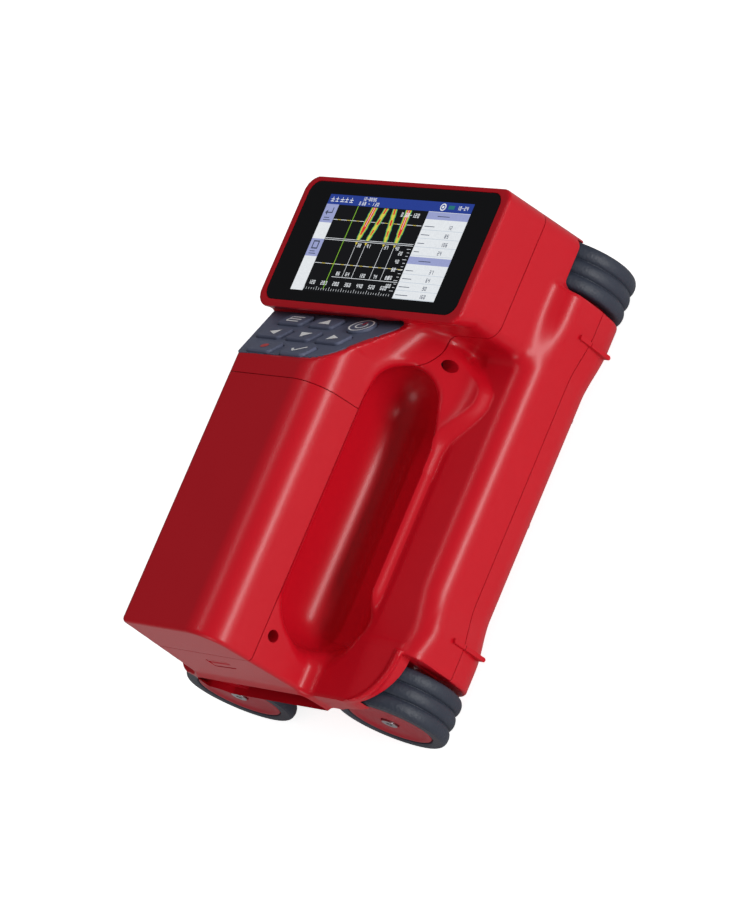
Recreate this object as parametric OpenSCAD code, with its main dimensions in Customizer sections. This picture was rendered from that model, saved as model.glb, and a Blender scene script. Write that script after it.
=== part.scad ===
// Hand-held rebar scanner on four ribbed wheels.
// X is the rolling direction, Y runs along the handle towards the display,
// Z is up from the scanned surface. The origin is the centre of the footprint.

/* [Wheels] */
// Outer diameter of a tyre
wheel_d = 55; // [52:0.5:56]
// Width of a tyre
tyre_w = 22.4; // [21:0.1:23]
// Thickness of a tyre from the hub disc to the ribs
tyre_t = 6.7; // [6:0.1:8]
// Diameter of an axle
axle_d = 8; // [6:0.5:9]
// Depth of the grooves between the ribs of a tyre
rib_groove = 1.6; // [0.8:0.1:2.4]

/* [Housing] */
// Overall length from the handle end to the display end
body_l = 243; // [240:1:250]
// Height of the top of the handle above the deck
handle_rise = 61; // [58:0.5:63]
// Width across the side walls at the wheels
body_w = 157; // [156:0.5:160]
// How far a side wall draws in at the waist
waist_in = 4; // [2:0.5:8]
// Height of the sole above the scanned surface
sole_z = 6; // [4:0.5:9]
// Height of the parting line above the axles
parting_lift = 0.5; // [0:0.5:2]
// Thickness of the roof between a wheel well and the deck
roof_t = 2.8; // [2.5:0.1:4]
// Fall of the deck from the handle to its rolled edge
deck_fall = 6; // [5:0.5:10]
// Wall thickness of the mouldings
wall = 2.5; // [2:0.1:3]
// Radius of the rolled edge of the deck
deck_roll_r = 12; // [9:0.5:14]
// Radius of the lower edge of the base
base_roll_r = 14; // [10:0.5:16]

/* [Handle] */
// Width of the deck left of the handle
left_deck_w = 37.5; // [36:0.5:39]
// Right side of the handle top, measured from the centre
handle_right = 20; // [18:0.5:22]
// Radius of the soft crest along the right of the handle
crest_r = 14; // [8:0.5:16]
// Radius of the crisp edge along the left of the handle
left_edge_r = 4; // [2:0.5:6]
// Height of the handle cover from its seam to the handle top
cover_h = 28; // [26:0.5:29]
// Distance from the cover's cross seam to the top edge of the keypad
cover_lead = 9.5; // [8:0.5:11]

/* [Finger recess] */
// Distance from the cover seam down to the upper edge of the recess
recess_drop = 3; // [2:0.5:5]
// Length of the solid grip between the handle end and the recess
recess_land = 18.5; // [15:0.5:24]
// Distance from the recess to the display head
recess_stop = 13; // [11:0.5:16]

/* [Display] */
// Drop from the handle top to the display face
display_drop = 24; // [22:0.5:25]
// Distance from the left side wall to the display face
head_in_left = 10; // [8:0.5:12]
// Distance from the right side wall to the display face
head_in_right = 13.5; // [12:0.5:16]
// Length of the display head at its face
head_l = 68.5; // [67:0.5:69]
// Rim of the display face left of the glass
glass_margin = 3.5; // [3:0.5:5]
// Rim of the display face right of the glass
glass_margin_right = 6; // [5:0.5:7]
// Rim of the display face between the glass and the keypad
glass_margin_near = 3.75; // [3:0.25:5]
// Thickness of the front glass
glass_t = 1.8; // [1.2:0.1:2]
// Dark border of the glass left and right of the picture
screen_border = 14.5; // [13:0.5:16]
// Dark border of the glass before and behind the picture
screen_border_end = 6; // [5:0.5:7]

/* [Keypad] */
// Angle of the keypad to the scanned surface
keypad_angle = 42; // [41:0.5:44]
// Length of the keypad down its slope
keypad_l = 47.8; // [47:0.1:49]
// Length of a key
key_l = 11.5; // [10:0.5:12]
// Travel of a key
key_travel = 0.8; // [0.5:0.1:1]
// Distance between rows of keys
key_row_pitch = 16.1; // [15.5:0.1:16.4]

/* [Hidden] */
$fn = 48;
over = 1;
slide_clear = 0.3;
run_clear = 0.05;
tiny_gap = 0.2;

end_y = body_l / 2;
side_x = body_w / 2;
waist_x = side_x - waist_in;
end_wall = 2.2;
wheel_side_gap = 0.4;
wheel_proud = 0.4;
wheel_back_gap = 2.5;
well_clear = 2.2;
arch_clear = 1.4;
wheel_r = wheel_d / 2;
hub_r = wheel_r - tyre_t;
axle_x = side_x + wheel_proud - wheel_r;
axle_z = wheel_r;
axle_r = axle_d / 2;
wheel_out_y = end_y - end_wall - wheel_side_gap;
wheel_in_y = wheel_out_y - tyre_w;
well_r = wheel_r + well_clear;
arch_r = hub_r + arch_clear;
sole_y = wheel_in_y - wheel_back_gap;
sole_l = 2 * sole_y;
roof_x = axle_x - arch_clear;
parting_z = axle_z + parting_lift;
deck_z = axle_z + well_r + roof_t;
deck_edge_z = deck_z - deck_fall;
roof_skirt = 14;
roof_low_z = deck_z - roof_skirt;
body_h = deck_z + handle_rise;
neck_start = 14;
neck_end = 36;
neck_far_y = sole_y - neck_start;
neck_near_y = sole_y - neck_end;
hub_color = [0.62, 0.08, 0.13];
shell_color = [0.75, 0.1, 0.16];

display_z = body_h - display_drop;
head_x0 = -side_x + head_in_left;
head_x1 = side_x - head_in_right;
head_lean = 2;
head_y1 = end_y - head_lean;
head_y0 = head_y1 - head_l;
head_foot_left = 3.5;
head_foot_right = 5;
head_top_wall = 5;
head_skirt = 24;
head_seam_z = display_z - head_skirt;

handle_left = side_x - left_deck_w;
pad_slope = tan(keypad_angle);
pad_top_y = head_y0 - keypad_l * cos(keypad_angle);
pad_left_flare = 27;
pad_right_flare = 6;
pad_foot_z = body_h - (head_y0 - pad_top_y) * pad_slope;

cover_seam_z = body_h - cover_h;
cover_end_y = pad_top_y - cover_lead;
seam_rise_lead = 6.5;
seam_rise_end = 6;

recess_out = 4;
recess_x = handle_right + recess_out;
recess_r = (cover_seam_z - recess_drop - roof_low_z) / 2;
recess_z = roof_low_z + recess_r;
recess_far_y = head_y0 - recess_stop;
recess_near_y = -end_y + recess_land;

lip_in = 1.5;
lip_rise = 2;
lip_lead = 9;
lip_x = roof_x - lip_in;
lip_z = deck_z + lip_rise;
lip_y0 = recess_near_y + recess_r + lip_lead;
lip_y1 = recess_far_y - recess_r;
valley_out = 7;
valley_rise = 2;
valley_x = roof_x + valley_out;
valley_z = deck_edge_z + valley_rise;

// Points of an arc in an outline
function arc(cx, cy, r, a0, a1, steps = 6) =
    [for (i = [0:steps]) let (a = a0 + (a1 - a0) * i / steps) [cx + r * cos(a), cy + r * sin(a)]];

// Solid with an outline in X and Z, from y0 to y1
module along_y(y0, y1) {
    translate([0, y1, 0]) rotate([90, 0, 0]) linear_extrude(height = y1 - y0) children();
}

// Solid with an outline in Y and Z, from x0 to x1
module along_x(x0, x1) {
    translate([x0, 0, 0]) rotate([90, 0, 90]) linear_extrude(height = x1 - x0) children();
}

// Round bar along Y
module bar_y(x, z, r, y0, y1) {
    translate([x, y1, z]) rotate([90, 0, 0]) cylinder(r = r, h = y1 - y0);
}

// Frame of the keypad: X across, Y down the slope, Z out of the keypad
module on_pad() {
    translate([0, pad_top_y, body_h]) rotate([-keypad_angle, 0, 0]) children();
}

// Deck from side wall to side wall, without the handle
module deck_outline(inset) {
    r = deck_roll_r - inset;
    cx = side_x - deck_roll_r;
    cz = deck_edge_z - deck_roll_r;
    polygon(concat(
        [[-side_x + inset, parting_z], [side_x - inset, parting_z]],
        arc(cx, cz, r, 0, 90),
        [[valley_x, valley_z - inset], [roof_x, deck_z - inset], [-roof_x, deck_z - inset]],
        arc(-cx, cz, r, 90, 180)));
}

// Handle seen from its end, from the roof over the wheels to the top
module handle_outline(inset) {
    foot_spread = 6;
    polygon(concat(
        [[-roof_x + inset, roof_low_z + inset], [roof_x - inset, roof_low_z + inset],
         [roof_x - inset, deck_z - inset], [handle_right + foot_spread - inset, deck_z - inset]],
        arc(handle_right - crest_r, body_h - crest_r, crest_r - inset, 0, 90),
        arc(-handle_left + left_edge_r, body_h - left_edge_r,
            left_edge_r - min(inset, left_edge_r - tiny_gap), 90, 180, 3),
        [[-handle_left - foot_spread + inset, deck_z - inset], [-roof_x + inset, deck_z - inset]]));
}

// Handle seen from the side, cut down the slope of the keypad
module handle_side(inset) {
    cut = inset / cos(keypad_angle);
    polygon([
        [-end_y + inset, 0], [-end_y + inset, body_h + over],
        [pad_top_y - cut, body_h + over], [pad_top_y - cut, body_h],
        [head_y0 + inset, pad_foot_z - cut], [head_y0 + wall + over, pad_foot_z - cut],
        [head_y0 + wall + over, 0]]);
}

// Plan of the housing with its waist
module plan_outline(inset) {
    w = side_x - inset;
    n = waist_x - inset;
    far = end_y + over;
    polygon([
        [w, far], [w, neck_far_y], [n, neck_near_y], [n, -neck_near_y], [w, -neck_far_y], [w, -far],
        [-w, -far], [-w, -neck_far_y], [-n, -neck_near_y], [-n, neck_near_y], [-w, neck_far_y], [-w, far]]);
}

// Block that carries the keypad, widening towards the display
module pad_block(inset) {
    intersection() {
        linear_extrude(height = body_h)
            polygon([
                [-handle_left + inset, pad_top_y + over], [handle_right - inset, pad_top_y + crest_r],
                [handle_right + pad_right_flare - inset, head_y0 + wall + over],
                [-handle_left - pad_left_flare + inset, head_y0 + wall + over]]);
        along_x(-side_x, side_x) handle_side(inset);
        translate([-side_x, -end_y, head_seam_z - wall])
            cube([2 * side_x, body_l, body_h]);
    }
}

// Lip along the finger recess, falling to the valley beside it
module recess_lip(inset) {
    along_y(lip_y0 + inset, lip_y1)
        polygon([
            [recess_x, roof_low_z + inset], [valley_x - inset, roof_low_z + inset],
            [valley_x - inset, valley_z - inset], [lip_x - inset, lip_z - inset], [recess_x, lip_z - inset]]);
}

// Shoulder that carries the lip and the handle wall out to the display head
shoulder_lead = 4;
shoulder_y0 = lip_y1 - shoulder_lead;
shoulder_x_shares = [0, 0.25, 0.73, 0.85, 0.21];
shoulder_y_shares = [0, 0.23, 0.54, 0.72, 0.9];
shoulder_foot_share = 0.7;
shoulder_foot_x = lip_x + shoulder_foot_share * (head_x1 - lip_x);
shoulder_mid_out = 22;
shoulder_mid_drop = 2;
shoulder_mid_x = handle_right + shoulder_mid_out;
shoulder_mid_z = head_seam_z - shoulder_mid_drop;
shoulder_top_out = 4;
shoulder_top_drop = 4;
shoulder_top_x = handle_right + shoulder_top_out;
shoulder_top_z = cover_seam_z - shoulder_top_drop;
shoulder_end_y = head_y0 + wall + over;
module shoulder(inset) {
    x0 = handle_right - wall;
    intersection() {
        linear_extrude(height = body_h)
            polygon(concat(
                [[x0, shoulder_y0]],
                [for (i = [0:len(shoulder_x_shares) - 1])
                    [lip_x + shoulder_x_shares[i] * (head_x1 - lip_x) - inset,
                     shoulder_y0 + shoulder_y_shares[i] * (head_y0 - shoulder_y0) - inset]],
                [[handle_right + pad_right_flare - inset, shoulder_end_y], [x0, shoulder_end_y]]));
        along_y(0, end_y)
            polygon([
                [x0, parting_z], [head_x1, parting_z], [head_x1, lip_z - inset],
                [shoulder_foot_x - inset, lip_z - inset], [shoulder_mid_x - inset, shoulder_mid_z - inset],
                [shoulder_top_x - inset, shoulder_top_z - inset], [x0, shoulder_top_z - inset]]);
    }
}

// Ramp between the shoulder and the display head
ramp_drop = 7;
ramp_y0 = shoulder_y0 + shoulder_y_shares[1] * (head_y0 - shoulder_y0);
ramp_y1 = shoulder_y0 + shoulder_y_shares[4] * (head_y0 - shoulder_y0);
ramp_foot_z = valley_z + valley_rise;
module head_ramp(inset) {
    x0 = handle_right - wall;
    x1 = head_x1 - inset;
    intersection() {
        linear_extrude(height = body_h)
            polygon([
                [x0, ramp_y0 + inset], [lip_x - inset, ramp_y0 + inset], [x1, ramp_y1 + inset],
                [x1, shoulder_end_y], [x0, shoulder_end_y]]);
        along_y(0, end_y)
            polygon([
                [x0, parting_z], [x1, parting_z], [x1, ramp_foot_z - inset],
                [shoulder_top_x - inset, shoulder_top_z - ramp_drop - inset],
                [x0, shoulder_top_z - ramp_drop - inset]]);
    }
}

// Display head, a little wider at its foot
module head_block(inset) {
    intersection() {
        along_y(head_y0 + inset, end_y)
            polygon([
                [head_x0 - head_foot_left + inset, roof_low_z + inset],
                [head_x1 + head_foot_right - inset, roof_low_z + inset],
                [head_x1 - inset, display_z - (inset > 0 ? head_top_wall : 0)],
                [head_x0 + inset, display_z - (inset > 0 ? head_top_wall : 0)]]);
        along_x(-side_x, side_x)
            polygon([
                [head_y0, 0], [end_y - inset, 0], [end_y - inset, roof_low_z],
                [head_y1 - inset, display_z], [head_y0, display_z]]);
    }
}

// Everything above the parting line as one solid
module upper_body(inset) {
    difference() {
        union() {
            intersection() {
                along_y(-sole_y + inset, sole_y - inset) deck_outline(inset);
                linear_extrude(height = body_h) plan_outline(inset);
            }
            intersection() {
                along_y(-end_y + inset, head_y0 + wall + over) handle_outline(inset);
                along_x(-side_x, side_x) handle_side(inset);
            }
            pad_block(inset);
            recess_lip(inset);
            shoulder(inset);
            head_ramp(inset);
            head_block(inset);
        }
        for (side = [-1, 1])
            for (end = [-1, 1])
                wheel_well(side, end, inset);
        finger_recess(inset);
    }
}

// Space for a wheel, with the smaller arch through the end wall
module wheel_well(side, end, inset) {
    y0 = sole_y - inset;
    y1 = end_y - end_wall;
    ya = end < 0 ? -y1 : y0;
    yb = end < 0 ? -y0 : y1;
    bar_y(side * axle_x, axle_z, well_r + inset, ya, yb);
    bar_y(side * axle_x, axle_z, arch_r + inset, end < 0 ? -end_y - over : y0, end < 0 ? -y0 : end_y + over);
    x0 = roof_x - inset;
    notch_top = deck_z + over;
    nx = side < 0 ? -side_x - over : x0;
    nw = side_x + over - x0;
    if (end < 0)
        translate([nx, -end_y - over, 0]) cube([nw, end_y + over - y0, notch_top]);
}

// Long round-ended hollow for the fingers
module finger_recess(grow) {
    r = recess_r + grow;
    y0 = recess_near_y + recess_r;
    y1 = recess_far_y - recess_r;
    bar_y(recess_x, recess_z, r, y0, y1);
    for (y = [y0, y1])
        translate([recess_x, y, recess_z]) sphere(r = r);
}

// Hollow moulding above the parting line, before it is split at the seams
module upper_shell() {
    difference() {
        upper_body(0);
        difference() {
            upper_body(wall);
            side_screw_bosses();
            body_screw_bosses();
            bush_blocks();
        }
        translate([-side_x, -sole_y + wall, 0])
            intersection() {
                cube([body_w, sole_l - 2 * wall, parting_z + over]);
                translate([side_x, sole_y - wall, 0])
                    linear_extrude(height = parting_z + over) plan_outline(wall);
            }
    }
}

// Region under the seam that runs along the handle and round the head
module below_seam(drop) {
    along_x(-side_x - over, side_x + over)
        polygon([
            [-end_y - over, 0], [-end_y - over, cover_seam_z - drop],
            [pad_top_y + seam_rise_lead, cover_seam_z - drop], [head_y0 - seam_rise_end, head_seam_z - drop],
            [end_y + over, head_seam_z - drop], [end_y + over, 0]]);
}

// Screw places
side_screw_r = 1.5;
side_hole_r = 3.4;
side_sink = 9;
shoulder_screw_back = 9.9;
shoulder_screw_drop = 2.5;
grip_screw_back = 6;
grip_screw_drop = 7;
side_screw_at = [
    [head_y0 - shoulder_screw_back, head_seam_z - shoulder_screw_drop, shoulder_mid_x],
    [recess_near_y - grip_screw_back, cover_seam_z - grip_screw_drop, handle_right - over]];
body_screw_out = 12.6;
body_screw_back = 32;
body_screw_x = axle_x + body_screw_out;
screw_r = 1.5;
screw_head_r = 2.9;
screw_head_t = 2;
boss_r = 4;
body_screw_near_y = -sole_y + body_screw_back;
body_screw_far_y = head_y0 - boss_r - over;
body_screw_ys = [body_screw_near_y, (body_screw_near_y + body_screw_far_y) / 2, body_screw_far_y];
boss_tap_z = 8;

module side_screw_bosses() {
    for (s = side_screw_at)
        translate([0, s[0], s[1]]) rotate([0, 90, 0]) cylinder(r = side_hole_r + wall, h = side_x);
}

module body_screw_bosses() {
    for (side = [-1, 1])
        for (y = body_screw_ys)
            translate([side * body_screw_x, y, parting_z]) cylinder(r = boss_r, h = deck_z);
}

// Blocks round the axle bushes, shared by base and body
bush_r = 7;
bush_l = 9;
bush_block_r = bush_r + wall;
module bush_blocks() {
    for (side = [-1, 1])
        for (end = [-1, 1])
            bar_y(side * axle_x, axle_z, bush_block_r,
                end < 0 ? -sole_y : sole_y - bush_l, end < 0 ? -sole_y + bush_l : sole_y);
}

module bush_holes() {
    for (side = [-1, 1])
        for (end = [-1, 1])
            bar_y(side * axle_x, axle_z, bush_r, end < 0 ? -sole_y - over : sole_y - bush_l - over,
                end < 0 ? -sole_y + bush_l + over : sole_y + over);
}

// Small raised marks across the parting line
mark_w = 1.6;
mark_back = 17;
mark_y = sole_y - mark_back;
mark_z0 = parting_z / 2;
mark_z1 = parting_z + 2 * boss_r;
mark_out = 1;
module scan_marks(z0, z1) {
    for (side = [-1, 1])
        for (end = [-1, 1])
            translate([side < 0 ? -side_x - mark_out : side_x - wall, end * mark_y - mark_w / 2, z0])
                cube([wall + mark_out, mark_w, z1 - z0]);
}

module base_outline(inset) {
    r = base_roll_r - inset;
    cx = side_x - base_roll_r;
    cz = sole_z + base_roll_r;
    polygon(concat(
        arc(-cx, cz, r, 180, 270), arc(cx, cz, r, 270, 360),
        [[side_x - inset, parting_z + (inset > 0 ? over : 0)],
         [-side_x + inset, parting_z + (inset > 0 ? over : 0)]]));
}

module base_shell() {
    color(shell_color) {
        difference() {
            union() {
                difference() {
                    intersection() {
                        along_y(-sole_y, sole_y) base_outline(0);
                        linear_extrude(height = parting_z) plan_outline(0);
                    }
                    difference() {
                        intersection() {
                            along_y(-sole_y + wall, sole_y - wall) base_outline(wall);
                            linear_extrude(height = parting_z + over) plan_outline(wall);
                        }
                        base_posts();
                        intersection() {
                            bush_blocks();
                            translate([-side_x, -end_y, 0]) cube([body_w, body_l, parting_z]);
                        }
                    }
                }
                scan_marks(mark_z0, parting_z);
            }
            bush_holes();
            gasket_groove();
            for (side = [-1, 1])
                for (y = body_screw_ys)
                    translate([side * body_screw_x, y, 0]) {
                        cylinder(r = screw_r + tiny_gap, h = parting_z + over);
                        cylinder(r = screw_head_r + tiny_gap, h = sole_z + screw_head_t + wall);
                    }
        }
    }
}

// Screw posts and board stand-offs that rise from the floor of the base
board_post_r = 3;
board_clear = 1.4;
disc_r = 10;
main_board_w = 2 * (axle_x - disc_r - board_clear);
board_end_clear = 13;
main_board_l = sole_l - 2 * board_end_clear;
board_post_x = main_board_w / 2 - board_post_r / 1.5;
board_post_y = main_board_l / 2 - 2 * board_post_r + over;
board_post_at = [for (side = [-1, 1]) for (end = [-1, 1]) [side * board_post_x, end * board_post_y]];
coil_board_w = 2 * (axle_x - board_clear);
coil_end_clear = 6;
coil_board_l = sole_l - 2 * coil_end_clear;
coil_post_x = coil_board_w / 2 - 2 * board_post_r + over;
coil_post_y = coil_board_l / 2 - board_post_r - over;
coil_post_at = [for (side = [-1, 1]) for (end = [-1, 1]) [side * coil_post_x, end * coil_post_y]];
coil_board_z = 14;
module base_posts() {
    for (side = [-1, 1])
        for (y = body_screw_ys)
            translate([side * body_screw_x, y, sole_z]) cylinder(r = boss_r, h = parting_z - sole_z);
    for (p = board_post_at)
        translate([p[0], p[1], sole_z]) cylinder(r = board_post_r, h = parting_z - sole_z);
    for (p = coil_post_at)
        translate([p[0], p[1], sole_z]) cylinder(r = board_post_r, h = coil_board_z - sole_z);
}

// Rubber cord in a groove along the parting line
gasket_w = 1;
gasket_t = 1.2;
gasket_in = 0.8;
module gasket_ring(grow) {
    difference() {
        linear_extrude(height = gasket_t + grow) intersection() {
            plan_outline(gasket_in - grow / 2);
            square([body_w, sole_l - 2 * gasket_in + grow], center = true);
        }
        translate([0, 0, -over]) linear_extrude(height = gasket_t + grow + 2 * over) intersection() {
            plan_outline(gasket_in + gasket_w + grow / 2);
            square([body_w, sole_l - 2 * gasket_in - 2 * gasket_w - grow], center = true);
        }
    }
}
module gasket_groove() {
    translate([0, 0, parting_z - gasket_t]) gasket_ring(0);
}
module parting_gasket() {
    color([0.08, 0.08, 0.09])
    difference() {
        translate([0, 0, parting_z - gasket_t]) gasket_ring(0);
        for (side = [-1, 1])
            for (end = [-1, 1])
                bar_y(side * axle_x, axle_z, bush_r + tiny_gap, end < 0 ? -sole_y - over : sole_y - bush_l,
                    end < 0 ? -sole_y + bush_l : sole_y + over);
    }
}

module main_shell() {
    color(shell_color)
    difference() {
        union() {
            intersection() {
                upper_shell();
                below_seam(tiny_gap / 2);
                translate([-side_x - over, -end_y - over, parting_z])
                    cube([body_w + 2 * over, body_l + 2 * over, body_h]);
            }
            scan_marks(parting_z, mark_z1);
        }
        bush_holes();
        for (s = side_screw_at) {
            translate([-over, s[0], s[1]]) rotate([0, 90, 0])
                cylinder(r = side_screw_r + tiny_gap, h = side_x);
            translate([s[2] - side_sink, s[0], s[1]]) rotate([0, 90, 0])
                cylinder(r = side_hole_r, h = side_x);
        }
        for (side = [-1, 1])
            for (y = body_screw_ys)
                translate([side * body_screw_x, y, parting_z - over])
                    cylinder(r = screw_r, h = boss_tap_z + over);
        latch_window(slide_clear);
        tray_cut();
    }
}

// Push latch in the end wall, under the handle cover
latch_w = 15;
latch_h = 7;
latch_t = 4;
latch_x = -10;
latch_drop = 10;
latch_z = cover_seam_z - latch_drop;
latch_travel = 1.2;
module latch_window(grow) {
    translate([latch_x - latch_w / 2 - grow, -end_y - over, latch_z - latch_h / 2 - grow])
        cube([latch_w + 2 * grow, latch_t + 2 * over, latch_h + 2 * grow]);
}
module door_latch() {
    lip = 1.5;
    lip_t = 1.2;
    tray_front_y = -end_y + wall;
    color(shell_color) {
        translate([latch_x - latch_w / 2, -end_y + tiny_gap, latch_z - latch_h / 2])
            cube([latch_w, wall + slide_clear + lip_t - tiny_gap, latch_h]);
        translate([latch_x - latch_w / 2 - lip, tray_front_y + slide_clear, latch_z - latch_h / 2 - lip])
            cube([latch_w + 2 * lip, lip_t, latch_h + 2 * lip]);
    }
}

module head_shell() {
    color(shell_color) pad_ribs();
    color(shell_color)
    difference() {
        union() {
            difference() {
                intersection() {
                    upper_shell();
                    translate([-side_x, cover_end_y + slide_clear / 2, 0]) cube([body_w, body_l, body_h + over]);
                }
                below_seam(-tiny_gap / 2);
            }
            board_hangers();
            flap_block();
        }
        translate([glass_x0, glass_y0, display_z - glass_t - gasket_h - tiny_gap])
            cube([glass_w, glass_l, head_top_wall]);
        translate([lcd_x0 - tiny_gap, lcd_y0 - tiny_gap, display_z - head_top_wall - over])
            cube([lcd_w + 2 * tiny_gap, lcd_l + 2 * tiny_gap, head_top_wall + over]);
        on_pad() translate([0, 0, -mat_t - tiny_gap])
            linear_extrude(height = mat_t + over) mat_outline(0, 0);
        on_pad() translate([0, 0, -mat_t - wall - over])
            linear_extrude(height = wall + mat_t) mat_outline(mat_ledge, 2 * tiny_gap);
        flap_pocket();
    }
}

// Glass, gasket, screen and its board
glass_w = head_x1 - head_x0 - glass_margin - glass_margin_right;
glass_l = head_l - glass_margin / 2 - glass_margin_near;
glass_x0 = head_x0 + glass_margin;
glass_y0 = head_y0 + glass_margin_near;
glass_corner_r = 6;
gasket_h = 0.5;
lcd_border = 4;
lcd_w = glass_w - 2 * screen_border + 2 * lcd_border;
lcd_l = glass_l - 2 * screen_border_end + 2 * lcd_border;
lcd_x0 = glass_x0 + (glass_w - lcd_w) / 2;
lcd_y0 = glass_y0 + (glass_l - lcd_l) / 2;
lcd_t = 4;
lcd_top_z = display_z - glass_t - gasket_h - tiny_gap;
board_t = 1.6;
display_board_z = lcd_top_z - lcd_t - tiny_gap - board_t;
hanger_in = 3.5;
module display_glass() {
    color([0.04, 0.04, 0.05, 0.9])
        translate([glass_x0 + tiny_gap, glass_y0 + tiny_gap, display_z - glass_t - tiny_gap])
            linear_extrude(height = glass_t)
                soft_rectangle(glass_w - 2 * tiny_gap, glass_l - 2 * tiny_gap, glass_corner_r);
}
module soft_rectangle(w, l, r) {
    polygon(concat(
        arc(w - r, r, r, -90, 0), arc(w - r, l - r, r, 0, 90),
        arc(r, l - r, r, 90, 180), arc(r, r, r, 180, 270)));
}
module display_gasket() {
    color([0.08, 0.08, 0.09])
    translate([glass_x0 + tiny_gap, glass_y0 + tiny_gap, lcd_top_z])
        linear_extrude(height = gasket_h) difference() {
            soft_rectangle(glass_w - 2 * tiny_gap, glass_l - 2 * tiny_gap, glass_corner_r);
            translate([lcd_x0 - glass_x0 + lcd_border / 2, lcd_y0 - glass_y0 + lcd_border / 2])
                square([lcd_w - lcd_border, lcd_l - lcd_border]);
        }
}
module lcd_panel() {
    color([0.1, 0.12, 0.2])
        translate([lcd_x0, lcd_y0, lcd_top_z - lcd_t]) cube([lcd_w, lcd_l, lcd_t]);
}
module display_board() {
    color([0.05, 0.3, 0.15])
    difference() {
        translate([lcd_x0 - 2 * hanger_in, lcd_y0, display_board_z])
            cube([lcd_w + 4 * hanger_in, lcd_l, board_t]);
        for (p = hanger_at)
            translate([p[0], p[1], display_board_z - over]) cylinder(r = screw_r, h = board_t + 2 * over);
    }
}
hanger_at = [for (sx = [0, 1]) for (sy = [0, 1])
    [lcd_x0 - hanger_in + sx * (lcd_w + 2 * hanger_in), lcd_y0 + hanger_in + sy * (lcd_l - 2 * hanger_in)]];
module board_hangers() {
    for (p = hanger_at)
        translate([p[0], p[1], display_board_z + board_t])
            cylinder(r = hanger_in - tiny_gap, h = display_z - head_top_wall - display_board_z - board_t + over);
}
module buzzer() {
    buzzer_r = 6;
    buzzer_h = 4;
    buzzer_hole_r = 1;
    color([0.07, 0.07, 0.07])
        translate([lcd_x0 + lcd_w / 2, lcd_y0 + lcd_l / 2, display_board_z - buzzer_h]) difference() {
            cylinder(r = buzzer_r, h = buzzer_h);
            translate([0, 0, -over]) cylinder(r = buzzer_hole_r, h = 2 * over);
        }
}

// Left edge and width of the keypad's block, a way down the slope
function pad_left(down) = -handle_left - pad_left_flare * down / keypad_l;
function pad_width(down) = handle_right + pad_right_flare * down / keypad_l - pad_left(down);

// Keypad mat, keys, domes and board, all on the slope
mat_t = 2;
mat_ledge = 1;
mat_inset = 1.2;
mat_corner_r = 6;
mat_side = 2.3;
first_row = 7.4;
key_shares = [[0.26, 0.6], [0.203, 0.464, 0.723], [0.2535, 0.4966, 0.7624]];
key_w_share = 0.257;
key_w = key_w_share * pad_width(first_row);
key_rows = [for (row = [0:2]) [for (share = key_shares[row])
    pad_left(first_row + row * key_row_pitch) + share * pad_width(first_row + row * key_row_pitch)]];
key_up = 0.9;
key_cap_r = 2.5;
key_flange = 0.5;
key_flange_l = key_l / 2;
key_flange_t = 0.8;
dome_r = 3;
dome_h = 0.5;
domes_below = key_flange_t + key_travel + 2 * slide_clear + dome_h;
pad_board_drop = mat_t + domes_below;
power_r = 6.6;

// Ribs between the rows of keys, which hold the keypad board
pad_rib_w = 2;
module pad_ribs() {
    intersection() {
        pad_block(tiny_gap);
        on_pad() for (row = [0, 1])
            translate([-side_x, first_row + (row + 0.5) * key_row_pitch - pad_rib_w / 2, 0])
                translate([0, 0, -pad_board_drop - slide_clear])
                    cube([body_w, pad_rib_w, domes_below + slide_clear - tiny_gap]);
    }
}
module mat_outline(inset, far_inset) {
    m = mat_inset + inset;
    far = keypad_l - far_inset;
    r = mat_corner_r;
    left_near = -handle_left + mat_side + inset;
    left_far = -handle_left - pad_left_flare + 2 * mat_side + inset;
    right_near = handle_right - m;
    right_far = handle_right + pad_right_flare - m;
    polygon(concat(
        [[left_near, m], [right_near - r, m]],
        arc(right_near - r, r + m, r, -90, 0, 4),
        [[right_far, far], [left_far, far]]));
}
module pad_board_outline() {
    near = first_row - dome_r - slide_clear;
    far = first_row + 2 * key_row_pitch + dome_r + slide_clear;
    right = key_rows[2][2] + dome_r + wall;
    far_left = key_rows[2][0] - dome_r - wall;
    polygon([[-handle_left + 2 * wall, near], [right, near], [right, far], [far_left, far]]);
}
module keypad_mat() {
    color([0.22, 0.24, 0.31])
    on_pad() difference() {
        translate([0, 0, -mat_t]) linear_extrude(height = mat_t) mat_outline(tiny_gap, slide_clear);
        for (row = [0:2])
            for (x = key_rows[row])
                if (!(row == 2 && x == key_rows[2][2]))
                    translate([x, first_row + row * key_row_pitch, -mat_t - over])
                        linear_extrude(height = mat_t + 2 * over) key_outline(slide_clear);
        translate([key_rows[2][2], first_row + 2 * key_row_pitch, -mat_t - over])
            cylinder(r = power_r + slide_clear, h = mat_t + 2 * over);
    }
}
module key_outline(grow) {
    w = key_w + 2 * grow;
    l = key_l + 2 * grow;
    translate([-w / 2, -l / 2]) soft_rectangle(w, l, key_cap_r + grow);
}
module key_at(row, column) {
    color([0.2, 0.22, 0.29])
    on_pad() translate([key_rows[row][column], first_row + row * key_row_pitch, 0]) {
        translate([0, 0, -mat_t - slide_clear])
            linear_extrude(height = mat_t + slide_clear + key_up) key_outline(0);
        translate([-key_w / 2 - key_flange, -key_flange_l / 2, -mat_t - slide_clear - key_flange_t])
            cube([key_w + 2 * key_flange, key_flange_l, key_flange_t]);
    }
}
module menu_key() { key_at(2, 0); }
module up_key() { key_at(2, 1); }
module left_key() { key_at(1, 0); }
module down_key() { key_at(1, 1); }
module right_key() { key_at(1, 2); }
module record_key() { key_at(0, 0); }
module enter_key() { key_at(0, 1); }
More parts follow.
